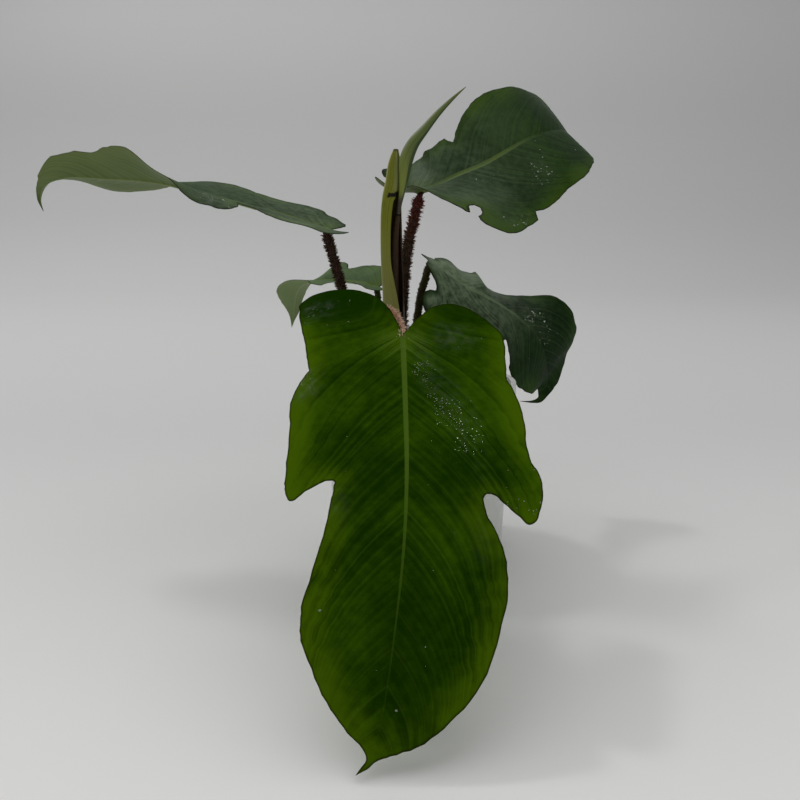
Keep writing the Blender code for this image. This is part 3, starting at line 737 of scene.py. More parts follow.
@dataclass
class Blade:
    """The bent surface of a leaf, which turns places on the flat leaf into points in space."""

    leaf: Leaf

    def __post_init__(self) -> None:
        """Works out the midrib."""
        leaf = self.leaf
        rows = [(*point, *face, *curl, fold)
                for point, face, curl, fold in zip(leaf.midrib, leaf.face, leaf.curl, leaf.fold)]
        self.rows = smooth(rows, 16)
        self.rows[:, :3] *= MM
        steps = np.linalg.norm(np.diff(self.rows[:, :3], axis=0), axis=1)
        self.reach = np.concatenate([[0], np.cumsum(steps)])
        self.length = float(self.reach[-1])
        self.scale = self.length / (leaf.right[-1][-1][1] * MM)

    def row(self, along: np.ndarray) -> np.ndarray:
        """The midrib's rows at places along it."""
        return np.column_stack([np.interp(along, self.reach, column) for column in self.rows.T])

    def surface(self, across: np.ndarray, along: np.ndarray,
                lift: np.ndarray | float = 0.0) -> tuple[np.ndarray, np.ndarray]:
        """Points of the blade and the way its upper side looks there.

        Args:
            across: How far right of the midrib each place lies.
            along: How far from the petiole it lies.
            lift: How far above the surface.

        Returns:
            The points and the unit normals.
        """
        row = self.row(along)
        middle = np.clip(along, 0, self.length)
        reach = self.length * 0.02
        tip = unit(self.row(middle + reach)[:, :3] - self.row(middle - reach)[:, :3])
        face = unit(row[:, 3:6] - tip * np.sum(row[:, 3:6] * tip, axis=1)[:, None])
        back = np.minimum(along, 0)
        bend = self.leaf.lobe_bend or LEAST_BEND
        turn = (bend * back)[:, None]
        point = row[:, :3] + tip * np.sin(turn) / bend - face * (1 - np.cos(turn)) / bend
        tip, face = (tip * np.cos(turn) - face * np.sin(turn),
                     face * np.cos(turn) + tip * np.sin(turn))
        curl = np.where(across >= 0, row[:, 6], row[:, 7])
        curl = np.where(np.abs(curl) > LEAST_CURL, curl, LEAST_CURL)
        fold = np.radians(row[:, 8])
        turned = fold - curl * np.abs(across)
        out = np.copysign((np.sin(fold) - np.sin(turned)) / curl, across)
        rise = (np.cos(turned) - np.cos(fold)) / curl
        side = np.cross(tip, face)
        lean = np.copysign(np.sin(turned), across)[:, None]
        normal = face * np.cos(turned)[:, None] - side * lean
        found = point + side * out[:, None] + face * rise[:, None]
        return found + normal * np.broadcast_to(lift, across.shape)[:, None], normal

    def under(self, along: float, depth: float) -> np.ndarray:
        """A point that lies so deep below the midrib."""
        return self.surface(np.array([1e-9]), np.array([along]), -depth)[0][0]

    def margin(self, runs: Sequence, steps: int) -> np.ndarray:
        """One half's outline, across and along, from the petiole to the tip.

        Args:
            runs: The smooth runs, each from the corner where the last one ends.
            steps: Steps between two given points.

        Returns:
            The points.
        """
        parts = [smooth(runs[0], steps)]
        for before, run in zip(runs, runs[1:]):
            parts.append(smooth((before[-1], *run), steps)[1:])
        points = np.vstack(parts)
        points[:, 0] = np.clip(points[:, 0], 0, None)
        return points * MM * self.scale

    def outline(self, steps: int) -> np.ndarray:
        """The closed outline of the flat blade, round from the notch at the petiole.

        Args:
            steps: Steps between two given points.

        Returns:
            The points, across and along.
        """
        right = self.margin(self.leaf.right, steps)
        left = self.margin(self.leaf.left, steps) * (-1, 1)
        found = np.vstack([right, left[-2:0:-1]])
        ahead = np.roll(found, -1, axis=0) - np.roll(found, 1, axis=0)
        square = unit(np.column_stack([ahead[:, 1], -ahead[:, 0]]))
        coarse, fine = WANDER_PITCH, RUFFLE_PITCH
        wander = np.array([noise.noise((float(x) * coarse, float(y) * coarse, self.length * 50))
                           + RUFFLE_SHARE * noise.noise((float(x) * fine, float(y) * fine, 3.0))
                           for x, y in found])
        wander *= self.leaf.ragged * MM * np.clip(np.abs(found[:, 0]) / WANDER_START - 0.5, 0, 1)
        return found + square * wander[:, None]

    def veins(self, across: np.ndarray, along: np.ndarray) -> np.ndarray:
        """The count of side veins passed, which is whole on each of them.

        Args:
            across: How far from the midrib each place lies.
            along: How far from the petiole it lies.

        Returns:
            The count at each place.
        """
        out = np.abs(across) / self.length
        ahead = along / self.length
        part = np.clip(np.abs(across) / self.breadth(along), 0, 1.2)
        sweep = VEIN_SWEEP * part ** 3 * np.clip(ahead * 3, 0, 1)
        rise = ahead - VEIN_SLOPE * out - sweep
        fan = rise / (np.hypot(out, ahead) + FAN_CORE)
        return np.where(rise >= 0, VEINS * rise, FAN_VEINS * fan) + 0.5

    def breadth(self, along: np.ndarray) -> np.ndarray:
        """The half breadth of the blade at places along it, as if it had no notches.

        Args:
            along: How far from the petiole each place lies.

        Returns:
            The half breadth at each place.
        """
        across, reach = self.outline(2).T
        lean = np.abs(along[:, None] - reach[None, :]) * NOTCH_SLOPE
        return np.maximum((np.abs(across)[None, :] - lean).max(axis=1), LEAST_BREADTH)


def distance_to(points: np.ndarray, outline: np.ndarray) -> np.ndarray:
    """How far each of the points lies from the closed outline.

    Args:
        points: Places on the flat leaf.
        outline: The outline's points.

    Returns:
        The distances.
    """
    least = np.full(len(points), math.inf)
    for start, end in zip(outline, np.roll(outline, -1, axis=0)):
        side = end - start
        part = np.clip((points - start) @ side / max(side @ side, 1e-18), 0, 1)
        least = np.minimum(least, np.linalg.norm(points - start - part[:, None] * side, axis=1))
    return least


def inside(points: np.ndarray, outline: np.ndarray) -> np.ndarray:
    """Which of the points lie inside the closed outline.

    Args:
        points: Places on the flat leaf.
        outline: The outline's points.

    Returns:
        True for each point inside.
    """
    found = np.zeros(len(points), bool)
    for start, end in zip(outline, np.roll(outline, -1, axis=0)):
        rise = end[1] - start[1]
        if rise:
            spans = (start[1] > points[:, 1]) != (end[1] > points[:, 1])
            found ^= spans & (points[:, 0] < start[0] + (points[:, 1] - start[1]) / rise
                              * (end[0] - start[0]))
    return found


@dataclass
class BladePiece:
    """One blade: a fine lattice, bent and quilted, whose wall swells under the ribs."""

    blade: Blade
    size: BladeSize
    finish: "LeafFinish"

    def lattice(self) -> bmesh.types.BMesh:
        """The flat blade, cut along rows and columns.

        Returns:
            The cut blade.
        """
        size = self.size
        cell = size.cell * 1
        outline = self.blade.outline(size.outline_steps)
        low, high = outline.min(axis=0), outline.max(axis=0)
        beyond = np.arange(size.rib_columns[-1] + cell, max(high[0], -low[0]), cell)
        columns = [*size.rib_columns, *beyond]
        columns = [*columns, *(-stop for stop in columns[1:])]
        shape = bmesh.new()
        shape.faces.new([shape.verts.new((*place, 0)) for place in outline])
        for normal, stops in (((0, 1, 0), np.arange(low[1] + cell / 2, high[1], cell)),
                              ((1, 0, 0), columns)):
            for stop in stops:
                bmesh.ops.bisect_plane(
                    shape, geom=[*shape.verts, *shape.edges, *shape.faces], dist=cell / 30,
                    plane_co=Vector(normal) * float(stop), plane_no=normal)
        many = [face for face in shape.faces if len(face.verts) > 4]
        bmesh.ops.triangulate(shape, faces=many)
        return shape

    def relief(self, across: np.ndarray, along: np.ndarray, edge: np.ndarray,
               veins: np.ndarray) -> tuple[np.ndarray, np.ndarray]:
        """How far the upper side rises and how thick the wall is.

        Args:
            across: How far from the midrib each place lies.
            along: How far from the petiole it lies.
            edge: How far it lies from the margin.
            veins: The count of side veins passed.

        Returns:
            The rise and the thickness.
        """
        size = self.size
        out = np.abs(across)
        fade = np.clip(edge / size.fade, 0, 1)
        near_rib = (np.exp(-(out / size.rib_width) ** 2)
                    * np.where(along < 0, np.exp(along / size.rib_start), 1))
        slim = np.clip(1 - along / self.blade.length, 0, 1)
        vein = np.abs((veins + 0.5) % 1 - 0.5)
        quilt = np.sin(math.pi * np.clip(vein * 2, 0, 1)) * np.clip(out / size.quilt_start, 0, 1)
        ripple = np.cos(math.tau * veins * size.ripples) * np.clip(out / size.ripple_start, 0, 1)
        pitch = size.wave_pitch
        waves = np.array([noise.noise((float(a) * pitch, float(b) * pitch, self.blade.length * 90))
                          for a, b in zip(across, along)])
        pucker = np.exp(-(np.maximum(along, 0) / size.pucker_reach) ** 2)
        folds = size.quilt * (1 + size.pucker * pucker)
        rise = (size.lift + (folds * (quilt - 0.6) + size.ripple * ripple
                             + size.wave * waves * np.clip(out / size.wave_start, 0, 1)) * fade
                - size.groove * near_rib * slim * fade)
        wall = (size.edge_wall + (size.wall - size.edge_wall) * fade
                + size.vein_depth * np.exp(-(vein / size.vein_part) ** 2) * fade
                + size.rib_depth * near_rib * (size.rib_tip + (1 - size.rib_tip) * slim)
                * np.clip(edge / size.rib_edge, 0, 1))
        return rise, wall

    def build(self) -> None:
        """Makes the piece, with the upper side, the underside and the margin as materials."""
        shape = self.lattice()
        flat = np.array([vert.co[:2] for vert in shape.verts])
        across, along = flat.T
        edge = distance_to(flat, self.blade.outline(self.size.outline_steps))
        veins = self.blade.veins(across, along)
        rise, wall = self.relief(across, along, edge, veins)
        points, _ = self.blade.surface(across, along, rise)
        for vert, point in zip(shape.verts, points):
            vert.co = point
        name, finish = self.blade.leaf.name, self.finish
        piece = publish(f"{name}_skin", shape, (finish.upper(), finish.lower(), finish.margin()),
                        Slot.LEAF, name, crease_deg=75)
        for label, values in (("across", across / MM), ("along", along / self.blade.length),
                              ("edge", edge / MM), ("veins", veins)):
            layer = piece.data.attributes.new(label, "FLOAT", "POINT")
            layer.data.foreach_set("value", values.astype(np.float32))
        group = piece.vertex_groups.new(name="wall")
        thickest = float(wall.max())
        for number, thickness in enumerate(wall):
            group.add([number], float(thickness) / thickest, "REPLACE")
        solid = piece.modifiers.new("wall", "SOLIDIFY")
        solid.thickness = thickest
        solid.offset = -1
        solid.vertex_group = group.name
        solid.thickness_vertex_group = 0
        solid.material_offset = 1
        solid.material_offset_rim = 2


# Petioles


@dataclass(frozen=True)
class StalkForm:
    """One petiole: its route in mm, and its radius, bristles and entry into the blade in metres."""

    name: str
    leaf: Leaf
    route: tuple
    radius: float
    bristles: int
    bristle: float
    droop: float
    entry: tuple = ((0.0005, 0.0030), (0.0035, 0.0013))


@dataclass(frozen=True)
class StalkSize:
    """Sizes shared by the petioles, in metres, and the spread of what is drawn at random."""

    sides: int = 14
    ring: float = 0.0016
    end_radius: float = 0.0019
    taper: float = 0.012
    tip: float = 0.004
    tip_share: float = 0.6
    knob: float = 0.00012
    bristle_radius: float = 0.00040
    bristle_end: float = 0.00008
    root: float = 0.0002
    lean: float = 0.35
    ahead: tuple[float, float] = (-0.1, 0.3)
    length: tuple[float, float] = (0.4, 1.2)
    girth: tuple[float, float] = (0.7, 1.3)
    tuft: int = 150


@dataclass
class StalkPiece:
    """One petiole with its bristles, which runs into the midrib of its leaf."""

    form: StalkForm
    size: StalkSize
    finish: "StalkFinish"
    draw: random.Random

    def build(self) -> None:
        """Makes the piece."""
        form, size = self.form, self.size
        blade = Blade(form.leaf)
        points = [np.array(point) * MM for point in form.route]
        points += [blade.under(along, depth) for along, depth in form.entry]
        rows = even(np.array(points), size.ring)
        left = (len(rows) - 1 - np.arange(len(rows))) * size.ring
        radius = size.end_radius + (form.radius - size.end_radius) * np.clip(left / size.taper, 0, 1)
        radius *= size.tip_share + (1 - size.tip_share) * np.clip(left / size.tip, 0, 1)
        turns = np.arange(size.sides) / size.sides * math.tau
        radii = np.array([[base + size.knob * self.draw.uniform(-1, 1) for _ in turns]
                          for base in radius])
        rings = hoops(rows, turns, radii)
        reach = np.linspace(0, 1, len(rows))
        shape = loft(rings, {"reach": reach[:, None], "point": np.zeros((len(rows), 1))})
        add_small(shape, range(thinned(form.bristles)), size.tuft,
                  lambda tuft, _: self.raise_bristle(tuft, rows, rings), ("reach", "point"))
        publish(f"{form.name}_stalk", shape, (self.finish.skin(), self.finish.bristle()),
                Slot.PETIOLE, form.name, crease_deg=80)

    def raise_bristle(self, tuft: bmesh.types.BMesh, rows: np.ndarray, rings: np.ndarray) -> None:
        """Sets one fine cone at a random place of the petiole.

        Args:
            tuft: The bmesh that it is added to.
            rows: The middle of each ring.
            rings: The points of each ring.
        """
        draw, size = self.draw, self.size
        row = draw.randrange(1, len(rows) - 4)
        side = draw.randrange(size.sides)
        near, far = (Vector(ring[side]).lerp(Vector(ring[(side + 1) % size.sides]), draw.random())
                     for ring in (rings[row], rings[row + 1]))
        root = near.lerp(far, draw.random())
        ahead = Vector(unit(rows[row + 1] - rows[row]))
        out = (root - Vector(rows[row])).normalized()
        lean = Vector([draw.uniform(-size.lean, size.lean) for _ in range(3)])
        out = (out + lean + ahead * draw.uniform(*size.ahead)
               - Vector((0, 0, self.form.droop))).normalized()
        length = self.form.bristle * draw.uniform(*size.length)
        root -= out * size.root
        made = bmesh.ops.create_cone(
            tuft, cap_ends=False, segments=4, depth=length, matrix=facing(root + out * length / 2, out),
            radius1=size.bristle_radius * draw.uniform(*size.girth), radius2=size.bristle_end)
        reach, point = (tuft.verts.layers.float[name] for name in ("reach", "point"))
        for vert in made["verts"]:
            vert[reach] = row / len(rows)
            vert[point] = float((vert.co - root).dot(out) > length / 2)
            for face in vert.link_faces:
                face.material_index = 1


# Sheath and new leaf


@dataclass(frozen=True)
class SheathSize:
    """Sizes of the open sheath, in metres."""

    axis: tuple[float, float] = (-0.016, 0.001)
    wall: float = 0.0007
    columns: int = 44
    steps: int = 10
    opening_deg: float = -45.0
    flutes: int = 26
    flute: float = 0.00010
    lip: float = 0.0005
    lip_part: float = 0.02
    lip_open_deg: float = 20.0


@dataclass
class SheathPiece:
    """The old sheath leaf, open on one side, with a withered patch on its edge."""

    size: SheathSize

    def build(self) -> None:
        """Makes the piece."""
        size = self.size
        opening = math.radians(size.opening_deg)
        part = np.linspace(0, 1, size.columns + 1)
        slit = np.minimum(part, 1 - part)
        rings = []
        for x, y, z, radius, half_open in smooth(SHEATH_SECTIONS, size.steps):
            half = math.radians(half_open)
            turns = opening + half + (math.tau - 2 * half) * part
            lip = np.exp(-(slit / size.lip_part) ** 2) * min(1, half_open / size.lip_open_deg)
            out = radius * MM + size.flute * np.cos(turns * size.flutes) + size.lip * lip
            rings.append(np.column_stack([x * MM + out * np.cos(turns), y * MM + out * np.sin(turns),
                                          np.full(len(turns), z * MM)]))
        marks = {"part": np.tile(part, (len(rings), 1)), "slit": np.tile(slit, (len(rings), 1))}
        shape = loft(np.array(rings), marks, closed=False)
        face = max(shape.faces, key=lambda face: face.calc_area())
        if (face.calc_center_median().xy - Vector(size.axis)).dot(face.normal.xy) < 0:
            bmesh.ops.reverse_faces(shape, faces=shape.faces)
        piece = publish("old_sheath", shape, (sheath_outside(), sheath_inside()), Slot.SHEATH,
                        "sheath", crease_deg=70)
        wall = piece.modifiers.new("wall", "SOLIDIFY")
        wall.thickness = size.wall
        wall.offset = 0
        wall.material_offset = 1


@dataclass(frozen=True)
class SpearSize:
    """Sizes of the rolled new leaf, in metres. lap is how far its last turn stands proud."""

    sides: int = 26
    ring: float = 0.0012
    lap: float = 0.16
    seam_deg: float = -76.0
    twist: float = 0.20


@dataclass
class SpearPiece:
    """The new leaf, rolled tight, whose outer edge laps over as a long seam."""

    size: SpearSize

    def build(self) -> None:
        """Makes the piece."""
        size = self.size
        rows = even(np.array(SPEAR_ROUTE) * MM, size.ring)
        part = np.arange(size.sides) / size.sides
        reach = np.linspace(0, 1, len(rows))[:, None]
        seam = math.radians(size.seam_deg) + size.twist * reach
        rings = hoops(rows[:, :3], seam - part * math.tau, rows[:, 3:4] * (1 - size.lap * part))
        shape = loft(rings, {"part": np.tile(part, (len(rows), 1)), "reach": reach})
        publish("rolled_leaf", shape, (spear_finish(),), Slot.SPEAR, "spear", crease_deg=50)


@dataclass(frozen=True)
class YoungStalkSize:
    """Sizes of the new leaf's petiole, in metres."""

    sides: int = 16
    ring: float = 0.002


@dataclass
class YoungStalkPiece:
    """The short petiole of the new leaf, inside the sheath."""

    size: YoungStalkSize
    finish: "StalkFinish"

    def build(self) -> None:
        """Makes the piece."""
        sides = self.size.sides
        rows = even(np.array(NEW_PETIOLE_ROUTE) * MM, self.size.ring)
        rings = hoops(rows[:, :3], np.arange(sides) / sides * math.tau,
                      np.tile(rows[:, 3:4], (1, sides)))
        shape = loft(rings, {"reach": np.linspace(0, 1, len(rows))[:, None]})
        publish("young_stalk", shape, (self.finish.skin(),), Slot.PETIOLE, "new_petiole",
                crease_deg=70)


# Stem, soil and pot


def spin(profile: Sequence[tuple[float, float]], segments: int) -> bmesh.types.BMesh:
    """Turns a line of (radius, height) round the Z axis, with its normals outward.

    Args:
        profile: The line, from the axis back to the axis.
        segments: Segments of the turn.

    Returns:
        The bmesh.
    """
    shape = bmesh.new()
    verts = [shape.verts.new((radius, 0, height)) for radius, height in profile]
    edges = [shape.edges.new(pair) for pair in zip(verts, verts[1:])]
    bmesh.ops.spin(shape, geom=[*verts, *edges], cent=(0, 0, 0), axis=(0, 0, 1), dvec=(0, 0, 0),
                   angle=math.tau, steps=segments, use_merge=True, use_duplicate=False)
    bmesh.ops.remove_doubles(shape, verts=shape.verts, dist=0.00001)
    bmesh.ops.recalc_face_normals(shape, faces=shape.faces)
    return shape


@dataclass(frozen=True)
class StemSize:
    """Sizes of the main stem, in metres. Widths are parts of the space between nodes."""

    x: float = -0.014
    y: float = 0.003
    foot: float = 0.060
    top: float = 0.122
    radius: float = 0.0070
    hole_gap: float = 0.0006
    node_spacing: float = 0.0085
    node_rise: float = 0.0009
    node_width: float = 0.18
    scar_depth: float = 0.0003
    scar_width: float = 0.03
    bark: float = 0.03
    bark_pitch: float = 260.0
    rings: int = 96
    segments: int = 40


@dataclass
class StemPiece:
    """The short main stem with a scar ring at each node."""

    size: StemSize
    soil: "SoilSize"

    def build(self) -> None:
        """Makes the piece."""
        size = self.size
        profile = [(0, size.foot)]
        for height in np.linspace(size.foot, size.top, size.rings):
            part = (size.top - height) / size.node_spacing % 1
            swell = size.node_rise * math.exp(-((part - 0.5) / size.node_width) ** 2)
            scar = size.scar_depth * math.exp(-((part - 0.5) / size.scar_width) ** 2)
            above = float(height > self.soil.top)
            profile.append((size.radius + (swell - scar) * above, float(height)))
        profile.append((0, size.top))
        shape = spin(profile, size.segments)
        for vert in shape.verts:
            if math.hypot(vert.co.x, vert.co.y) > size.radius / 2:
                vert.co.xy *= 1 + size.bark * noise.noise(vert.co * size.bark_pitch)
        bmesh.ops.translate(shape, verts=shape.verts, vec=(size.x, size.y, 0))
        publish("main_stem", shape, (stem_finish(),), Slot.STEM, "stem", crease_deg=60)


@dataclass(frozen=True)
class PotSize:
    """Sizes of the nursery pot, in metres."""

    height: float = 0.110
    rim_radius: float = 0.0615
    top_radius: float = 0.0595
    foot_radius: float = 0.0550
    wall: float = 0.0012
    floor: float = 0.0018
    rim_depth: float = 0.0085
    bevel: float = 0.00056
    segments: int = 120
    holes: int = 6
    hole_radius: float = 0.0045
    hole_ring: float = 0.034

    def outer(self, height: float) -> float:
        """The radius of the wall's outside at a height."""
        return self.foot_radius + (self.top_radius - self.foot_radius) * height / self.height


@dataclass(frozen=True)
class SoilSize:
    """Sizes of the soil, in metres, and how its crumbs vary."""

    top: float = 0.0960
    skin: float = 0.0001
    rise: float = 0.00176
    rough: float = 0.0016
    rough_pitch: float = 190.0
    gap: float = 0.0003
    clear: float = 0.003
    rings: int = 34
    segments: int = 110
    crumbs: int = 420
    batch: int = 60
    crumb: tuple[float, float] = (0.0006, 0.0019)
    grit: tuple[float, float] = (0.0006, 0.0013)
    grit_share: float = 0.16
    proud: float = 0.25
    width: tuple[float, float] = (0.5, 1.0)
    thickness: tuple[float, float] = (0.35, 0.8)
    dent: tuple[float, float] = (0.8, 1.15)


@dataclass
class SoilPiece:
    """The soil: a plug with a rough top, set with crumbs and white grit."""

    size: SoilSize
    pot: PotSize
    stem: StemSize
    draw: random.Random

    def ground(self, x: float, y: float, edge: float) -> float:
        """The height of the soil at a place.

        Args:
            x: The place across.
            y: The place along.
            edge: The soil's radius.

        Returns:
            The height.
        """
        size = self.size
        part = min(1.0, math.hypot(x, y) / edge)
        rough = noise.fractal(Vector((x, y, 0)) * size.rough_pitch, 1.0, 2.1, 4) * size.rough
        return size.top + size.rise * (1 - part) + rough * min(1, (1 - part) * 9)

    def build(self) -> None:
        """Makes the piece."""
        size, pot, stem = self.size, self.pot, self.stem
        edge = pot.outer(size.top) - pot.wall - size.gap
        foot = pot.floor + size.gap
        low = pot.foot_radius - pot.wall - size.gap
        profile = [(0, foot), (low, foot), (edge, size.top)]
        profile += [(edge * (1 - (ring + 1) / (size.rings + 1)), size.top + size.skin)
                    for ring in range(size.rings)]
        profile.append((0, size.top + size.skin))
        shape = spin(profile, size.segments)
        for vert in shape.verts:
            if vert.co.z > size.top + size.skin / 2:
                vert.co.z = self.ground(vert.co.x, vert.co.y, edge)
        soil = publish("potting_soil", shape, (soil_finish(), grit_finish()), Slot.SOIL, "soil",
                       crease_deg=80)
        hole = bmesh.new()
        wide = stem.radius + stem.hole_gap
        bmesh.ops.create_cone(hole, cap_ends=True, segments=48, radius1=wide, radius2=wide,
                              depth=pot.height)
        bmesh.ops.translate(hole, verts=hole.verts,
                            vec=(stem.x, stem.y, stem.foot - size.gap + pot.height / 2))
        carve(soil, hole)
        crumbs = bmesh.new()
        crumbs.from_mesh(soil.data)
        add_small(crumbs, range(thinned(size.crumbs)), size.batch,
                  lambda part, _: self.drop_crumb(part, edge))
        crumbs.to_mesh(soil.data)
        crumbs.free()

    def drop_crumb(self, shape: bmesh.types.BMesh, edge: float) -> None:
        """Adds one crumb, or one grain of white grit, on the soil.

        Args:
            shape: The soil's bmesh.
            edge: The soil's radius.
        """
        size, draw = self.size, self.draw
        while True:
            away = (edge - size.clear) * math.sqrt(draw.random())
            turn = draw.uniform(0, math.tau)
            x, y = away * math.cos(turn), away * math.sin(turn)
            if math.hypot(x - self.stem.x, y - self.stem.y) > self.stem.radius + size.clear:
                break
        white = draw.random() < size.grit_share
        radius = draw.uniform(*(size.grit if white else size.crumb))
        spot = Vector((x, y, self.ground(x, y, edge) + radius * size.proud))
        turned = Matrix.Rotation(draw.uniform(0, math.tau), 4,
                                 Vector([draw.uniform(-1, 1) for _ in range(3)]).normalized())
        flat = Matrix.Diagonal((1, draw.uniform(*size.width), draw.uniform(*size.thickness), 1))
        made = bmesh.ops.create_icosphere(shape, subdivisions=1, radius=radius,
                                          matrix=Matrix.Translation(spot) @ turned @ flat)
        for vert in made["verts"]:
            vert.co = spot.lerp(vert.co, draw.uniform(*size.dent))
            for face in vert.link_faces:
                face.material_index = int(white)


@dataclass
class PotPiece:
    """The thin plastic pot with its stiff rim and its drain holes."""

    size: PotSize

    def build(self) -> None:
        """Makes the piece."""
        size = self.size
        under_rim = size.height - size.rim_depth
        inner_top = size.top_radius - size.wall
        profile = [(0, 0), (size.foot_radius, 0), (size.outer(under_rim), under_rim),
                   (size.rim_radius, under_rim), (size.rim_radius, size.height),
                   (inner_top, size.height), (size.foot_radius - size.wall, size.floor),
                   (0, size.floor)]
        shape = spin(profile, size.segments)
        corners = [edge for edge in shape.edges
                   if abs(edge.verts[0].co.z - edge.verts[1].co.z) < 1e-6
                   and edge.calc_face_angle(0) > math.radians(40)]
        bmesh.ops.bevel(shape, geom=corners, offset=size.bevel, offset_type="OFFSET",
                        segments=3, profile=0.5, affect="EDGES", material=-1)
        pot = publish("nursery_pot", shape, (pot_finish(),), Slot.POT, "pot", crease_deg=50)
        holes = bmesh.new()
        for number in range(size.holes):
            turn = math.tau * (number + 0.5) / size.holes
            spot = (size.hole_ring * math.cos(turn), size.hole_ring * math.sin(turn), 0)
            bmesh.ops.create_cone(holes, cap_ends=True, segments=32, radius1=size.hole_radius,
                                  radius2=size.hole_radius, depth=size.floor * 4,
                                  matrix=Matrix.Translation(spot))
        carve(pot, holes)


# Water


@dataclass(frozen=True)
class Sprinkle:
    """Drops scattered on a part of a blade, in mm across and along, and their radii."""

    leaf: Leaf
    across: tuple[float, float]
    along: tuple[float, float]
    count: int
    radius: tuple[float, float]


@dataclass(frozen=True)
class DropSize:
    """How the drops are shaped, as parts of their radius, and how many are made together."""

    width: tuple[float, float] = (0.7, 1.0)
    height: float = 0.55
    segments: int = 10
    rings: int = 6
    batch: int = 60


@dataclass
class DropPiece:
    """The water left on the leaves, as flat domes."""

    size: DropSize
    sprinkles: Sequence[Sprinkle]
    draw: np.random.Generator

    def places(self, sprinkle: Sprinkle, blade: Blade) -> np.ndarray:
        """Random places of a sprinkle on its blade.

        Args:
            sprinkle: The sprinkle.
            blade: The blade that it lies on.

        Returns:
            Across, along and radius of each drop.
        """
        low, high = np.transpose([sprinkle.across, sprinkle.along]) * MM
        spots = self.draw.uniform(low, high, (sprinkle.count, 2))
        small, large = sprinkle.radius
        radii = (small + (large - small) * self.draw.random(sprinkle.count) ** 3) * MM
        outline = blade.outline(2)
        kept = inside(spots, outline) & (distance_to(spots, outline) > radii)
        return np.column_stack([spots, radii])[kept]

    def build(self) -> None:
        """Makes the piece."""
        shape = bmesh.new()
        for sprinkle in self.sprinkles:
            blade = Blade(sprinkle.leaf)
            across, along, radii = self.places(sprinkle, blade).T
            points, normals = blade.surface(across, along, BladeSize().lift)
            add_small(shape, list(zip(points, normals, radii)), self.size.batch,
                      lambda part, drop: self.drop(part, *drop))
        publish("water_drops", shape, (water_finish(),), None, crease_deg=80)

    def drop(self, part: bmesh.types.BMesh, spot: np.ndarray, normal: np.ndarray,
             radius: float) -> None:
        """Adds one flat drop.

        Args:
            part: The bmesh that it is added to.
            spot: Its middle.
            normal: The way the blade looks there.
            radius: Its radius.
        """
        size = self.size
        flat = Matrix.Diagonal((radius, radius * self.draw.uniform(*size.width),
                                radius * size.height, 1))
        bmesh.ops.create_uvsphere(part, u_segments=size.segments, v_segments=size.rings, radius=1,
                                  matrix=facing(spot, normal) @ flat)


# Finishes

BROWN_RIM = linear(30, 26, 8)
DRY_RIM = linear(36, 30, 10)

# How softly a wet window fades: in mm at its low side, within and beyond its high side, and in
# parts of the length at its ends.
WINDOW_LOW = 7
WINDOW_WITHIN = 5
WINDOW_BEYOND = 3
WINDOW_ENDS = 0.06


@dataclass(frozen=True)
class Window:
    """A soft patch of a blade that is wet.

    across gives its bounds in mm and along as parts of the length. slant shifts it along per
    mm across, and amount is how wet it is.
    """

    across: tuple[float, float]
    along: tuple[float, float]
    amount: float
    slant: float = 0.0

    def mask(self, graph: Graph) -> Flow:
        """The patch, from 0 to its amount.

        Args:
            graph: The node graph of the blade's material.

        Returns:
            The patch.
        """
        across = graph.attribute("across")
        along = graph.attribute("along") + across * self.slant
        (low, high), (start, end) = self.across, self.along
        return (across.step(low - WINDOW_LOW, low + WINDOW_LOW)
                * across.step(high - WINDOW_WITHIN, high + WINDOW_BEYOND, 1, 0)
                * along.step(start - WINDOW_ENDS, start + WINDOW_ENDS)
                * along.step(end - WINDOW_ENDS, end + WINDOW_ENDS, 1, 0) * self.amount)


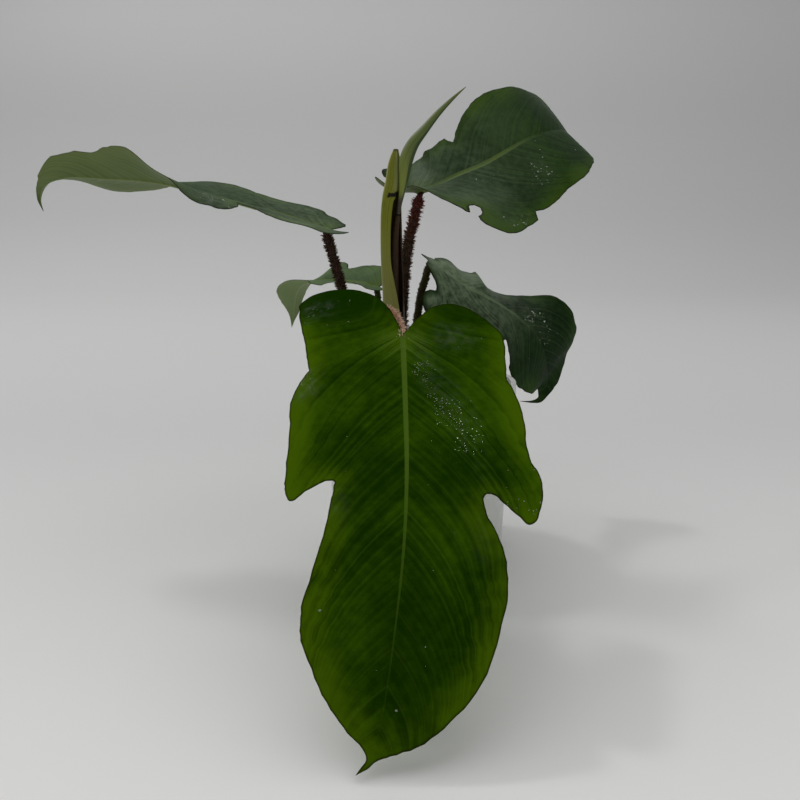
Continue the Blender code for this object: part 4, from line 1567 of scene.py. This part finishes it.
@dataclass(frozen=True)
class LeafFinish:
    """Colours of a blade, how glossy and wet it is, how much grey painted sheen is mixed into its colour,
    and how far its midrib shows.
    """

    name: str
    deep: Colour
    fresh: Colour
    edge: Colour
    rib: Colour
    under: Colour
    under_rib: Colour
    gloss: float
    shine: float
    wet: float
    rib_width: float = 1.45
    # How much grey painted sheen is mixed into the colour, and the sheen's colour.
    painted_sheen: float = 0.0
    sheen_colour: Colour = (0.2, 0.25, 0.16)
    vein: float = 0.06
    rib_end: float = 1.1
    windows: tuple[Window, ...] = ()

    def lines(self, graph: Graph) -> tuple[Flow, Flow, Flow, Flow]:
        """Where the midrib, the side veins, the fine veins and the margin lie, from 0 to 1.

        Args:
            graph: The material's graph.

        Returns:
            The four masks.
        """
        across = graph.math("ABSOLUTE", graph.attribute("across"))
        along = graph.attribute("along")
        veins = graph.attribute("veins")
        wide = along.step(0.0, 0.9, self.rib_width, 0.30)
        rib = (across / wide).step(0.75, 1.15, 1, 0) * along.step(-0.03, 0.0)
        side = graph.math("PINGPONG", veins + 0.5, 0.5).step(0.42, 0.5)
        fine = graph.grain(4.5, 3, along=veins + graph.grain(60, 2) * 0.10).step(0.25, 0.75)
        rim = graph.attribute("edge").step(0.0, 15.0, 1, 0)
        return rib, side, fine, rim

    def upper(self) -> bpy.types.Material:
        """The upper side: dark and satiny, yellower at the margin, partly as painted glow, with a pale
        midrib and, on some blades, a grey painted sheen.

        Returns:
            The material.
        """
        graph = Graph(f"{self.name}_upper")
        rib, side, fine, rim = self.lines(graph)
        along = graph.attribute("along")
        edge = graph.attribute("edge")
        aside = graph.math("ABSOLUTE", graph.attribute("across"))
        patches = graph.grain(26, 3).step(0.30, 0.70)
        mottle = graph.grain(240, 3).step(0.3, 0.7)
        bands = graph.grain(2.0, 3, along=graph.attribute("veins")).step(0.30, 0.70)
        # Brighter and yellower towards the margin and far from the midrib: partly the blade's own colour,
        # partly painted glow of light shining through the thin blade.
        rim = rim * along.step(-0.15, 0.12, 0.15, 1)
        tone = (patches * 0.34 + bands * 0.16 + fine * 0.14 + mottle * 0.14 + 0.05
                + rim * (bands * 0.16 + patches * 0.36) + aside.step(38, 58) * 0.24)
        tone = tone * along.step(-0.20, 0.0, 0.45, 1)
        colour = graph.mix(tone.step(0.12, 1.1), self.deep, self.fresh)
        colour = graph.mix(rim * patches * 0.28, colour, self.edge)
        star = (along.step(0.0, 0.11, 1, 0) * aside.step(4, 22, 1, 0) * fine.step(0.25, 0.8)
                * along.step(-0.04, 0.0))
        colour = graph.mix(side * self.vein + star * 0.9, colour, self.rib)
        fading = (along.step(0.3, self.rib_end, 0.85, 0.10)
                  * along.step(self.rib_end - 0.1, self.rib_end + 0.1, 1, 0.08))
        colour = graph.mix(rib * fading, colour, self.rib)
        colour = graph.mix(edge.step(0.1, 1.1, 0.75, 0), colour, BROWN_RIM)
        # Painted sheen: a grey colour mixed in near the midrib, away from the tip and the margin, where
        # the blade shows a soft reflection.
        painted_sheen = (along.step(0.02, 0.64, 1, 0) * (patches * 0.45 + fine * 0.2 + mottle * 0.35)
                * edge.step(0.0, 6.0) * aside.step(26, 46, 1, 0.2))
        colour = graph.mix(painted_sheen * self.painted_sheen, colour, self.sheen_colour)
        relief = fine * 0.25 + mottle * 0.45 + graph.grain(1100, 2) * 0.25
        film = sum((window.mask(graph) for window in self.windows), start=mottle * 0.0)
        film = film * (graph.grain(260, 4).step(0.42, 0.62) * 0.7 + fine * 0.3)
        return graph.finish(Base_Color=colour, Roughness=self.gloss + patches * 0.10,
                            Specular_IOR_Level=self.shine, Coat_Weight=film * self.wet,
                            Coat_Roughness=0.20, Coat_IOR=1.45, Coat_Tint=(0.95, 1.0, 0.80),
                            Normal=graph.bump(relief, 0.00022, 0.8))

    def lower(self) -> bpy.types.Material:
        """The underside: paler and duller, with lighter ribs.

        Returns:
            The material.
        """
        graph = Graph(f"{self.name}_under")
        rib, side, fine, rim = self.lines(graph)
        colour = graph.mix(fine * 0.35 + rim * 0.3, self.under, self.under_rib)
        colour = graph.mix(side * 0.35, colour, self.under_rib)
        colour = graph.mix(rib * 0.9, colour, self.under_rib)
        return graph.finish(Base_Color=colour, Roughness=0.5 + fine * 0.1, Specular_IOR_Level=0.3,
                            Normal=graph.bump(fine, 0.00015, 0.7))

    def margin(self) -> bpy.types.Material:
        """The thin brownish rim of the blade.

        Returns:
            The material.
        """
        graph = Graph(f"{self.name}_margin")
        grain = graph.grain(60, 2)
        colour = graph.mix(grain * 0.5, DRY_RIM, self.deep)
        return graph.finish(Base_Color=colour, Roughness=0.6 + grain * 0.1, Specular_IOR_Level=0.0)


@dataclass(frozen=True)
class StalkFinish:
    """Colours of a petiole and its bristles, from its foot to its top."""

    name: str
    foot: Colour
    top: Colour
    bristle_foot: Colour
    bristle_top: Colour
    point: Colour

    def skin(self) -> bpy.types.Material:
        """The petiole's skin, flecked and streaked.

        Returns:
            The material.
        """
        graph = Graph(f"{self.name}_skin")
        colour = graph.mix(graph.attribute("reach").step(0.66, 0.95), self.foot, self.top)
        flecks = graph.grain(1400, 2).step(0.55, 0.75)
        colour = graph.mix(flecks * 0.5, colour, self.point)
        return graph.finish(Base_Color=colour, Roughness=0.5 + flecks * 0.2,
                            Specular_IOR_Level=0.2,
                            Normal=graph.bump(graph.grain(900, 3), 0.0002, 0.8))

    def bristle(self) -> bpy.types.Material:
        """The bristles, pale at their points.

        Returns:
            The material.
        """
        graph = Graph(f"{self.name}_bristle")
        colour = graph.mix(graph.attribute("reach").step(0.66, 0.95), self.bristle_foot,
                           self.bristle_top)
        shade = graph.grain(700, 1).step(0.3, 0.7)
        colour = graph.mix(graph.attribute("point") * (shade * 0.7 + 0.1), colour, self.point)
        return graph.finish(Base_Color=colour, Roughness=0.5 + shade * 0.15,
                            Specular_IOR_Level=0.2)


def sheath_outside() -> bpy.types.Material:
    """The sheath's yellow-green outside, with creamy pale bands at its edges that are painted glow of
    light shining through it, and a black withered patch.

    Returns:
        The material.
    """
    graph = Graph("sheath_outside")
    height = graph.along("Z")
    part = graph.attribute("part")
    slit = graph.attribute("slit")
    streak = graph.grain(60, 3, along=part)
    colour = graph.mix(streak.step(0.3, 0.7), linear(99, 103, 6), linear(124, 128, 32))
    # Painted glow: a creamy band down the sheath's left side, where light shines through its edge.
    lit = part.step(0.58, 0.63) * part.step(0.65, 0.74, 1, 0)
    colour = graph.mix(lit * 0.8, colour, linear(186, 186, 120))
    # Painted glow: a pale band along the slit's edges in the sheath's upper part.
    lit_edge = slit.step(0.05, 0.13, 0.75, 0) * height.step(0.222, 0.230)
    colour = graph.mix(lit_edge, colour, linear(146, 152, 96))
    colour = graph.mix(height.step(0.150, 0.215, 0.6, 0), colour, linear(136, 136, 84))
    dull = part.step(0.10, 0.35, 1, 0) * height.step(0.219, 0.226, 1, 0)
    colour = graph.mix(dull, colour, linear(46, 32, 14))
    colour = graph.mix(height.step(0.2485, 0.2505), colour, linear(84, 66, 34))
    ragged = height + graph.grain(300, 4) * 0.004
    withered = (ragged.step(0.2240, 0.2248) * ragged.step(0.2272, 0.2280, 1, 0)
                * slit.step(0.15, 0.19, 1, 0))
    colour = graph.mix(withered, colour, linear(22, 15, 10))
    return graph.finish(Base_Color=colour, Roughness=0.42 + withered * 0.3,
                        Specular_IOR_Level=0.25, Normal=graph.bump(streak, 0.0003, 0.5))


def sheath_inside() -> bpy.types.Material:
    """The sheath's olive inside, brown lower down, with a pale painted glow at its top.

    Returns:
        The material.
    """
    graph = Graph("sheath_inside")
    height = graph.along("Z")
    streak = graph.grain(60, 3, along=graph.attribute("part"))
    colour = graph.mix(streak, linear(64, 62, 22), linear(90, 84, 34))
    colour = graph.mix(height.step(0.205, 0.226, 0.9, 0), colour, linear(56, 38, 22))
    # Painted glow of light shining through the thin upper sheath: pale at the top.
    colour = graph.mix(height.step(0.226, 0.231), colour, linear(150, 154, 110))
    return graph.finish(Base_Color=colour, Roughness=0.5 + streak * 0.1, Specular_IOR_Level=0.2)


def spear_finish() -> bpy.types.Material:
    """The rolled new leaf: light green, darker past its seam, with fine long veins.

    Returns:
        The material.
    """
    graph = Graph("rolled_leaf")
    part = graph.attribute("part")
    reach = graph.attribute("reach")
    streak = graph.grain(34, 3, along=part + reach * 0.2)
    colour = graph.mix(streak.step(0.3, 0.7), linear(72, 88, 24), linear(99, 113, 46))
    colour = graph.mix(reach.step(0.20, 0.50, 0.55, 0), colour, linear(138, 150, 46))
    colour = graph.mix(part.step(0.795, 0.835) * 0.95, colour, linear(46, 68, 14))
    colour = graph.mix(reach.step(0.85, 1.0) * 0.6, colour, linear(120, 120, 60))
    colour = graph.mix(reach.step(0.08, 0.17, 1, 0), colour, linear(52, 42, 22))
    return graph.finish(Base_Color=colour, Roughness=0.36 + streak * 0.1,
                        Normal=graph.bump(streak, 0.0003, 0.6))


def stem_finish() -> bpy.types.Material:
    """The stem's corky green-brown bark.

    Returns:
        The material.
    """
    graph = Graph("stem_bark")
    rough = graph.grain(240, 5)
    colour = graph.mix(rough.step(0.35, 0.65), linear(78, 70, 42), linear(116, 110, 66))
    return graph.finish(Base_Color=colour, Roughness=0.6 + rough * 0.2,
                        Normal=graph.bump(rough, 0.0004, 0.8))


def soil_finish() -> bpy.types.Material:
    """The dark moist soil.

    Returns:
        The material.
    """
    graph = Graph("soil_dark")
    rough = graph.grain(420, 6)
    colour = graph.mix(rough.step(0.3, 0.7), linear(38, 28, 20), linear(84, 64, 46))
    return graph.finish(Base_Color=colour, Roughness=0.85 + rough * 0.1,
                        Normal=graph.bump(rough, 0.0012, 1.0))


def grit_finish() -> bpy.types.Material:
    """The white grit in the soil.

    Returns:
        The material.
    """
    graph = Graph("soil_grit")
    rough = graph.grain(900, 3)
    colour = graph.mix(rough, linear(176, 172, 160), linear(222, 220, 210))
    return graph.finish(Base_Color=colour, Roughness=0.8 + rough * 0.1)


def pot_finish() -> bpy.types.Material:
    """The pot's white plastic, a little scuffed.

    Returns:
        The material.
    """
    graph = Graph("pot_plastic")
    scuff = graph.grain(55, 5)
    colour = graph.mix(scuff.step(0.4, 0.8) * 0.5, linear(214, 216, 212), linear(196, 197, 190))
    return graph.finish(Base_Color=colour, Roughness=0.34 + scuff * 0.16,
                        Normal=graph.bump(graph.grain(1800, 2), 0.00005, 0.5))


def water_finish() -> bpy.types.Material:
    """Clear water."""
    graph = Graph("water")
    return graph.finish(Base_Color=linear(238, 252, 226),
                        Roughness=graph.grain(300, 2) * 0.08 + 0.04, Transmission_Weight=0.8,
                        IOR=1.40)


def sweep_finish() -> bpy.types.Material:
    """The pale cloth of floor and wall, with the fall of light painted into its colour: brighter on the
    near floor, darker at the foot of the wall, lighter again higher up, and painted shade towards the back
    and the right.

    Returns:
        The material.
    """
    graph = Graph("sweep")
    depth = graph.along("Y")
    height = graph.along("Z")
    # Painted light and shade: the floor is brighter near the front, darker at the foot of the wall and
    # lighter higher up it.
    colour = graph.mix(depth.step(-0.45, 0.35, 0, 0.92), linear(246, 246, 244),
                       linear(202, 203, 202))
    colour = graph.mix(height.step(0.0, 0.25), colour, linear(198, 199, 198))
    colour = graph.mix(height.step(0.55, 1.05), colour, linear(214, 215, 214))
    # Painted shade towards the back and the right of the sweep.
    far = depth.step(0.2, 2.2) * graph.along("X").step(-1.2, 1.6)
    colour = graph.mix(far * 0.5, colour, linear(186, 187, 186))
    return graph.finish(Base_Color=colour, Roughness=0.85 + graph.grain(3, 3) * 0.1)


# Studio


@dataclass(frozen=True)
class Lamp:
    """A square soft light: where it hangs and how wide it is, in metres, and its watts."""

    name: str
    spot: tuple[float, float, float]
    width: float
    power: float


@dataclass(frozen=True)
class StudioSize:
    """Sizes of the sweep, in metres, the lights and the camera."""

    half_width: float = 5.0
    front: float = -4.0
    near: float = 0.6
    bend_start: float = 1.6
    bend_radius: float = 1.5
    bend_steps: int = 12
    height: float = 4.0
    aim: tuple[float, float, float] = (0.0, 0.0, 0.1)
    lamps: tuple[Lamp, ...] = (Lamp("panel", (-0.5, 0.9, 2.5), 5.0, 51),
                               Lamp("spark", (-0.9, 0.7, 1.9), 0.22, 5))
    daylight: float = 0.39
    eye: tuple[float, float, float] = (-0.012, -0.50, 0.212)
    tilt_deg: float = 77.0
    lens_mm: float = 36.0
    sensor_mm: float = 36.0


@dataclass
class Studio:
    """The pale sweep, the lights and the camera."""

    size: StudioSize

    def build(self) -> None:
        """Builds the sweep and the lights, and sets the camera."""
        size = self.size
        self.sweep()
        for lamp in size.lamps:
            self.hang(lamp)
        world = bpy.data.worlds.new("room")
        world.use_nodes = True
        background = world.node_tree.nodes["Background"].inputs
        background["Color"].default_value = (1, 1, 1, 1)
        background["Strength"].default_value = size.daylight
        bpy.context.scene.world = world
        bpy.context.scene.view_settings.view_transform = "Standard"
        lens = bpy.data.cameras.new("camera")
        lens.lens = size.lens_mm
        lens.sensor_width = size.sensor_mm
        lens.clip_start = 0.01
        camera = link("camera", lens)
        camera.location = size.eye
        camera.rotation_euler = (math.radians(size.tilt_deg), 0, 0)
        bpy.context.scene.camera = camera

    def sweep(self) -> None:
        """The floor, which bends up into the wall behind."""
        size = self.size
        line = [(size.front, 0.0), (-size.near, 0.0), (size.near, 0.0), (size.bend_start, 0.0)]
        for step in range(1, size.bend_steps + 1):
            turn = math.pi / 2 * step / size.bend_steps
            line.append((size.bend_start + size.bend_radius * math.sin(turn),
                         size.bend_radius * (1 - math.cos(turn))))
        line.append((size.bend_start + size.bend_radius, size.height))
        rings = np.array([[(-size.half_width, y, z), (size.half_width, y, z)] for y, z in line])
        mesh = bake("sweep", loft(rings, closed=False))
        mesh.shade_smooth()
        mesh.materials.append(sweep_finish())
        link("sweep", mesh)

    def hang(self, lamp: Lamp) -> None:
        """Hangs one lamp.

        Args:
            lamp: The lamp.
        """
        light = bpy.data.lights.new(lamp.name, "AREA")
        light.size = lamp.width
        light.energy = lamp.power
        holder = link(lamp.name, light)
        holder.location = lamp.spot
        aim = Vector(self.size.aim) - Vector(lamp.spot)
        holder.rotation_euler = aim.to_track_quat("-Z", "Y").to_euler()


# The plant


def stalks() -> tuple[StalkForm, ...]:
    """The five petioles, from their routes and habits.

    Returns:
        The petioles.
    """
    # Radius, number and length of bristles, how far they droop, and the front one's own entry.
    habits = ((0.0021, 2200, 0.0030, 0.1, ((-0.004, 0.0036), (0.005, 0.0024))),
              (0.0025, 2900, 0.0025, 0.0), (0.0025, 2100, 0.0020, 0.0),
              (0.0024, 900, 0.0010, 0.0), (0.0021, 700, 0.0009, 0.0))
    return tuple(StalkForm(*form, *habit) for form, habit in zip(PETIOLE_ROUTES, habits))


def leaf_finishes() -> dict[str, LeafFinish]:
    """The colours of each blade.

    Returns:
        The finishes, by the names of the blades.
    """
    common = dict(rib=linear(92, 112, 48), edge=linear(84, 102, 6))
    pale = dict(under=linear(74, 94, 40), under_rib=linear(114, 128, 72))
    return {
        "blade_front": LeafFinish(
            "front", linear(20, 46, 1), linear(62, 94, 5), gloss=0.42, shine=0.0, wet=1.0,
            rib=linear(78, 104, 32), edge=linear(88, 104, 4), vein=0.10, rib_end=0.9,
            windows=(Window((-34, -5), (-0.08, 0.10), 0.16, slant=0.0094),
                     Window((-36, -16), (-0.02, 0.0), 0.9), Window((27, 34), (0.48, 0.51), 0.5),
                     Window((-38, -29), (0.53, 0.58), 0.5), Window((44, 54), (0.13, 0.17), 0.6),
                     Window((38, 54), (-0.18, -0.12), 0.5)), **pale),
        "blade_right": LeafFinish(
            "right", linear(20, 46, 8), linear(46, 78, 20), gloss=0.40, shine=0.08, wet=1.0,
            rib_width=1.8, rib_end=0.52, painted_sheen=0.7, vein=0.10, sheen_colour=linear(92, 108, 82),
            windows=(Window((12, 34), (0.38, 0.45), 0.5), Window((42, 50), (0.15, 0.26), 0.8)),
            **common, **pale),
        "blade_left": LeafFinish(
            "left", linear(22, 46, 12), linear(54, 80, 34), gloss=0.50, shine=0.04, wet=1.0,
            painted_sheen=0.68, sheen_colour=linear(112, 130, 100),
            windows=(Window((-40, -30), (0.28, 0.40), 0.3),), **common, **pale),
        "blade_rear_right": LeafFinish(
            "rear_right", linear(12, 34, 8), linear(36, 64, 22), gloss=0.34, shine=0.05, wet=1.0,
            rib_width=2.4, rib_end=0.55, painted_sheen=1.0, sheen_colour=linear(150, 170, 136),
            rib=linear(96, 114, 80), edge=linear(60, 84, 20), vein=0.14,
            windows=(Window((-16, 0), (0.48, 0.60), 0.5),), **pale),
        # Its colours are paler than the other blades': on top partly painted sheen, underneath partly
        # painted glow of light shining through the blade.
        "blade_rear_left": LeafFinish(
            "rear_left", linear(52, 76, 42), linear(86, 110, 72), gloss=0.60, shine=0.10, wet=0.1,
            under=linear(114, 134, 84), under_rib=linear(140, 156, 108), **common),
    }


def stalk_finishes() -> dict[str, StalkFinish]:
    """The colours of each petiole.

    Returns:
        The finishes, by the names of the petioles.
    """
    brown = linear(44, 42, 16)
    maroon = linear(44, 26, 18)
    return {
        "petiole_front": StalkFinish("front_stalk", brown, linear(120, 50, 36),
                                     linear(190, 140, 110), linear(236, 190, 164),
                                     linear(252, 240, 222)),
        "petiole_right": StalkFinish("right_stalk", linear(38, 38, 16), linear(50, 22, 16),
                                     linear(44, 40, 18), linear(108, 38, 32), linear(160, 106, 92)),
        "petiole_left": StalkFinish("left_stalk", maroon, linear(36, 20, 10), linear(34, 22, 8),
                                    linear(48, 24, 10), linear(116, 82, 60)),
        "petiole_rear_right": StalkFinish("rear_right_stalk", brown, linear(58, 54, 18), brown,
                                          linear(84, 62, 34), linear(124, 112, 66)),
        "petiole_rear_left": StalkFinish("rear_left_stalk", brown, linear(48, 64, 24), brown, brown,
                                         linear(110, 112, 64)),
        "new_petiole": StalkFinish("young_stalk", linear(44, 28, 10), linear(52, 36, 12), brown,
                                   brown, linear(112, 82, 44)),
    }


def sprinkles() -> tuple[Sprinkle, ...]:
    """Where the water lies."""
    return (
        Sprinkle(FRONT_LEAF, (-16, -5), (18, 34), 90, (0.10, 0.42)),
        Sprinkle(FRONT_LEAF, (-20, -9), (30, 48), 90, (0.08, 0.36)),
        Sprinkle(FRONT_LEAF, (-27, -14), (44, 62), 120, (0.08, 0.40)),
        Sprinkle(FRONT_LEAF, (-36, -22), (56, 78), 80, (0.08, 0.42)),
        Sprinkle(FRONT_LEAF, (-54, -26), (-6, 8), 40, (0.08, 0.4)),
        Sprinkle(FRONT_LEAF, (28, 54), (-46, -12), 90, (0.08, 0.5)),
        Sprinkle(FRONT_LEAF, (44, 56), (20, 40), 30, (0.08, 0.3)),
        Sprinkle(FRONT_LEAF, (-62, -44), (82, 106), 46, (0.10, 0.5)),
        Sprinkle(FRONT_LEAF, (-52, 52), (-40, 200), 130, (0.08, 0.26)),
        Sprinkle(FRONT_LEAF, (-5.2, -4.8), (187.3, 187.7), 1, (0.6, 0.6)),
        Sprinkle(FRONT_LEAF, (31.3, 31.7), (153.8, 154.2), 1, (0.6, 0.6)),
        Sprinkle(RIGHT_LEAF, (15, 33), (74, 92), 60, (0.12, 0.9)),
        Sprinkle(RIGHT_LEAF, (43, 50), (31, 50), 26, (0.12, 1.0)),
        Sprinkle(RIGHT_LEAF, (2, 42), (20, 150), 40, (0.15, 0.5)),
        Sprinkle(LEFT_LEAF, (-36, -20), (54, 84), 40, (0.2, 0.9)),
        Sprinkle(REAR_RIGHT_LEAF, (-16, -2), (78, 106), 60, (0.12, 0.8)),
        Sprinkle(REAR_RIGHT_LEAF, (-20, 20), (10, 140), 40, (0.15, 0.6)),
    )


def main() -> None:
    """Builds every piece in turn."""
    logging.basicConfig(level=logging.INFO, format="%(message)s")
    size = BladeSize()
    leaves = leaf_finishes()
    for leaf in (FRONT_LEAF, RIGHT_LEAF, LEFT_LEAF, REAR_RIGHT_LEAF, REAR_LEFT_LEAF):
        BladePiece(Blade(leaf), size, leaves[leaf.name]).build()
    skins = stalk_finishes()
    for seed, form in enumerate(stalks()):
        StalkPiece(form, StalkSize(), skins[form.name], random.Random(seed)).build()
    SheathPiece(SheathSize()).build()
    SpearPiece(SpearSize()).build()
    YoungStalkPiece(YoungStalkSize(), skins["new_petiole"]).build()
    pot, stem, soil = PotSize(), StemSize(), SoilSize()
    StemPiece(stem, soil).build()
    SoilPiece(soil, pot, stem, random.Random(SOIL_SEED)).build()
    PotPiece(pot).build()
    DropPiece(DropSize(), sprinkles(), np.random.default_rng(DROP_SEED)).build()
    Studio(StudioSize()).build()


if __name__ == "__main__":
    main()
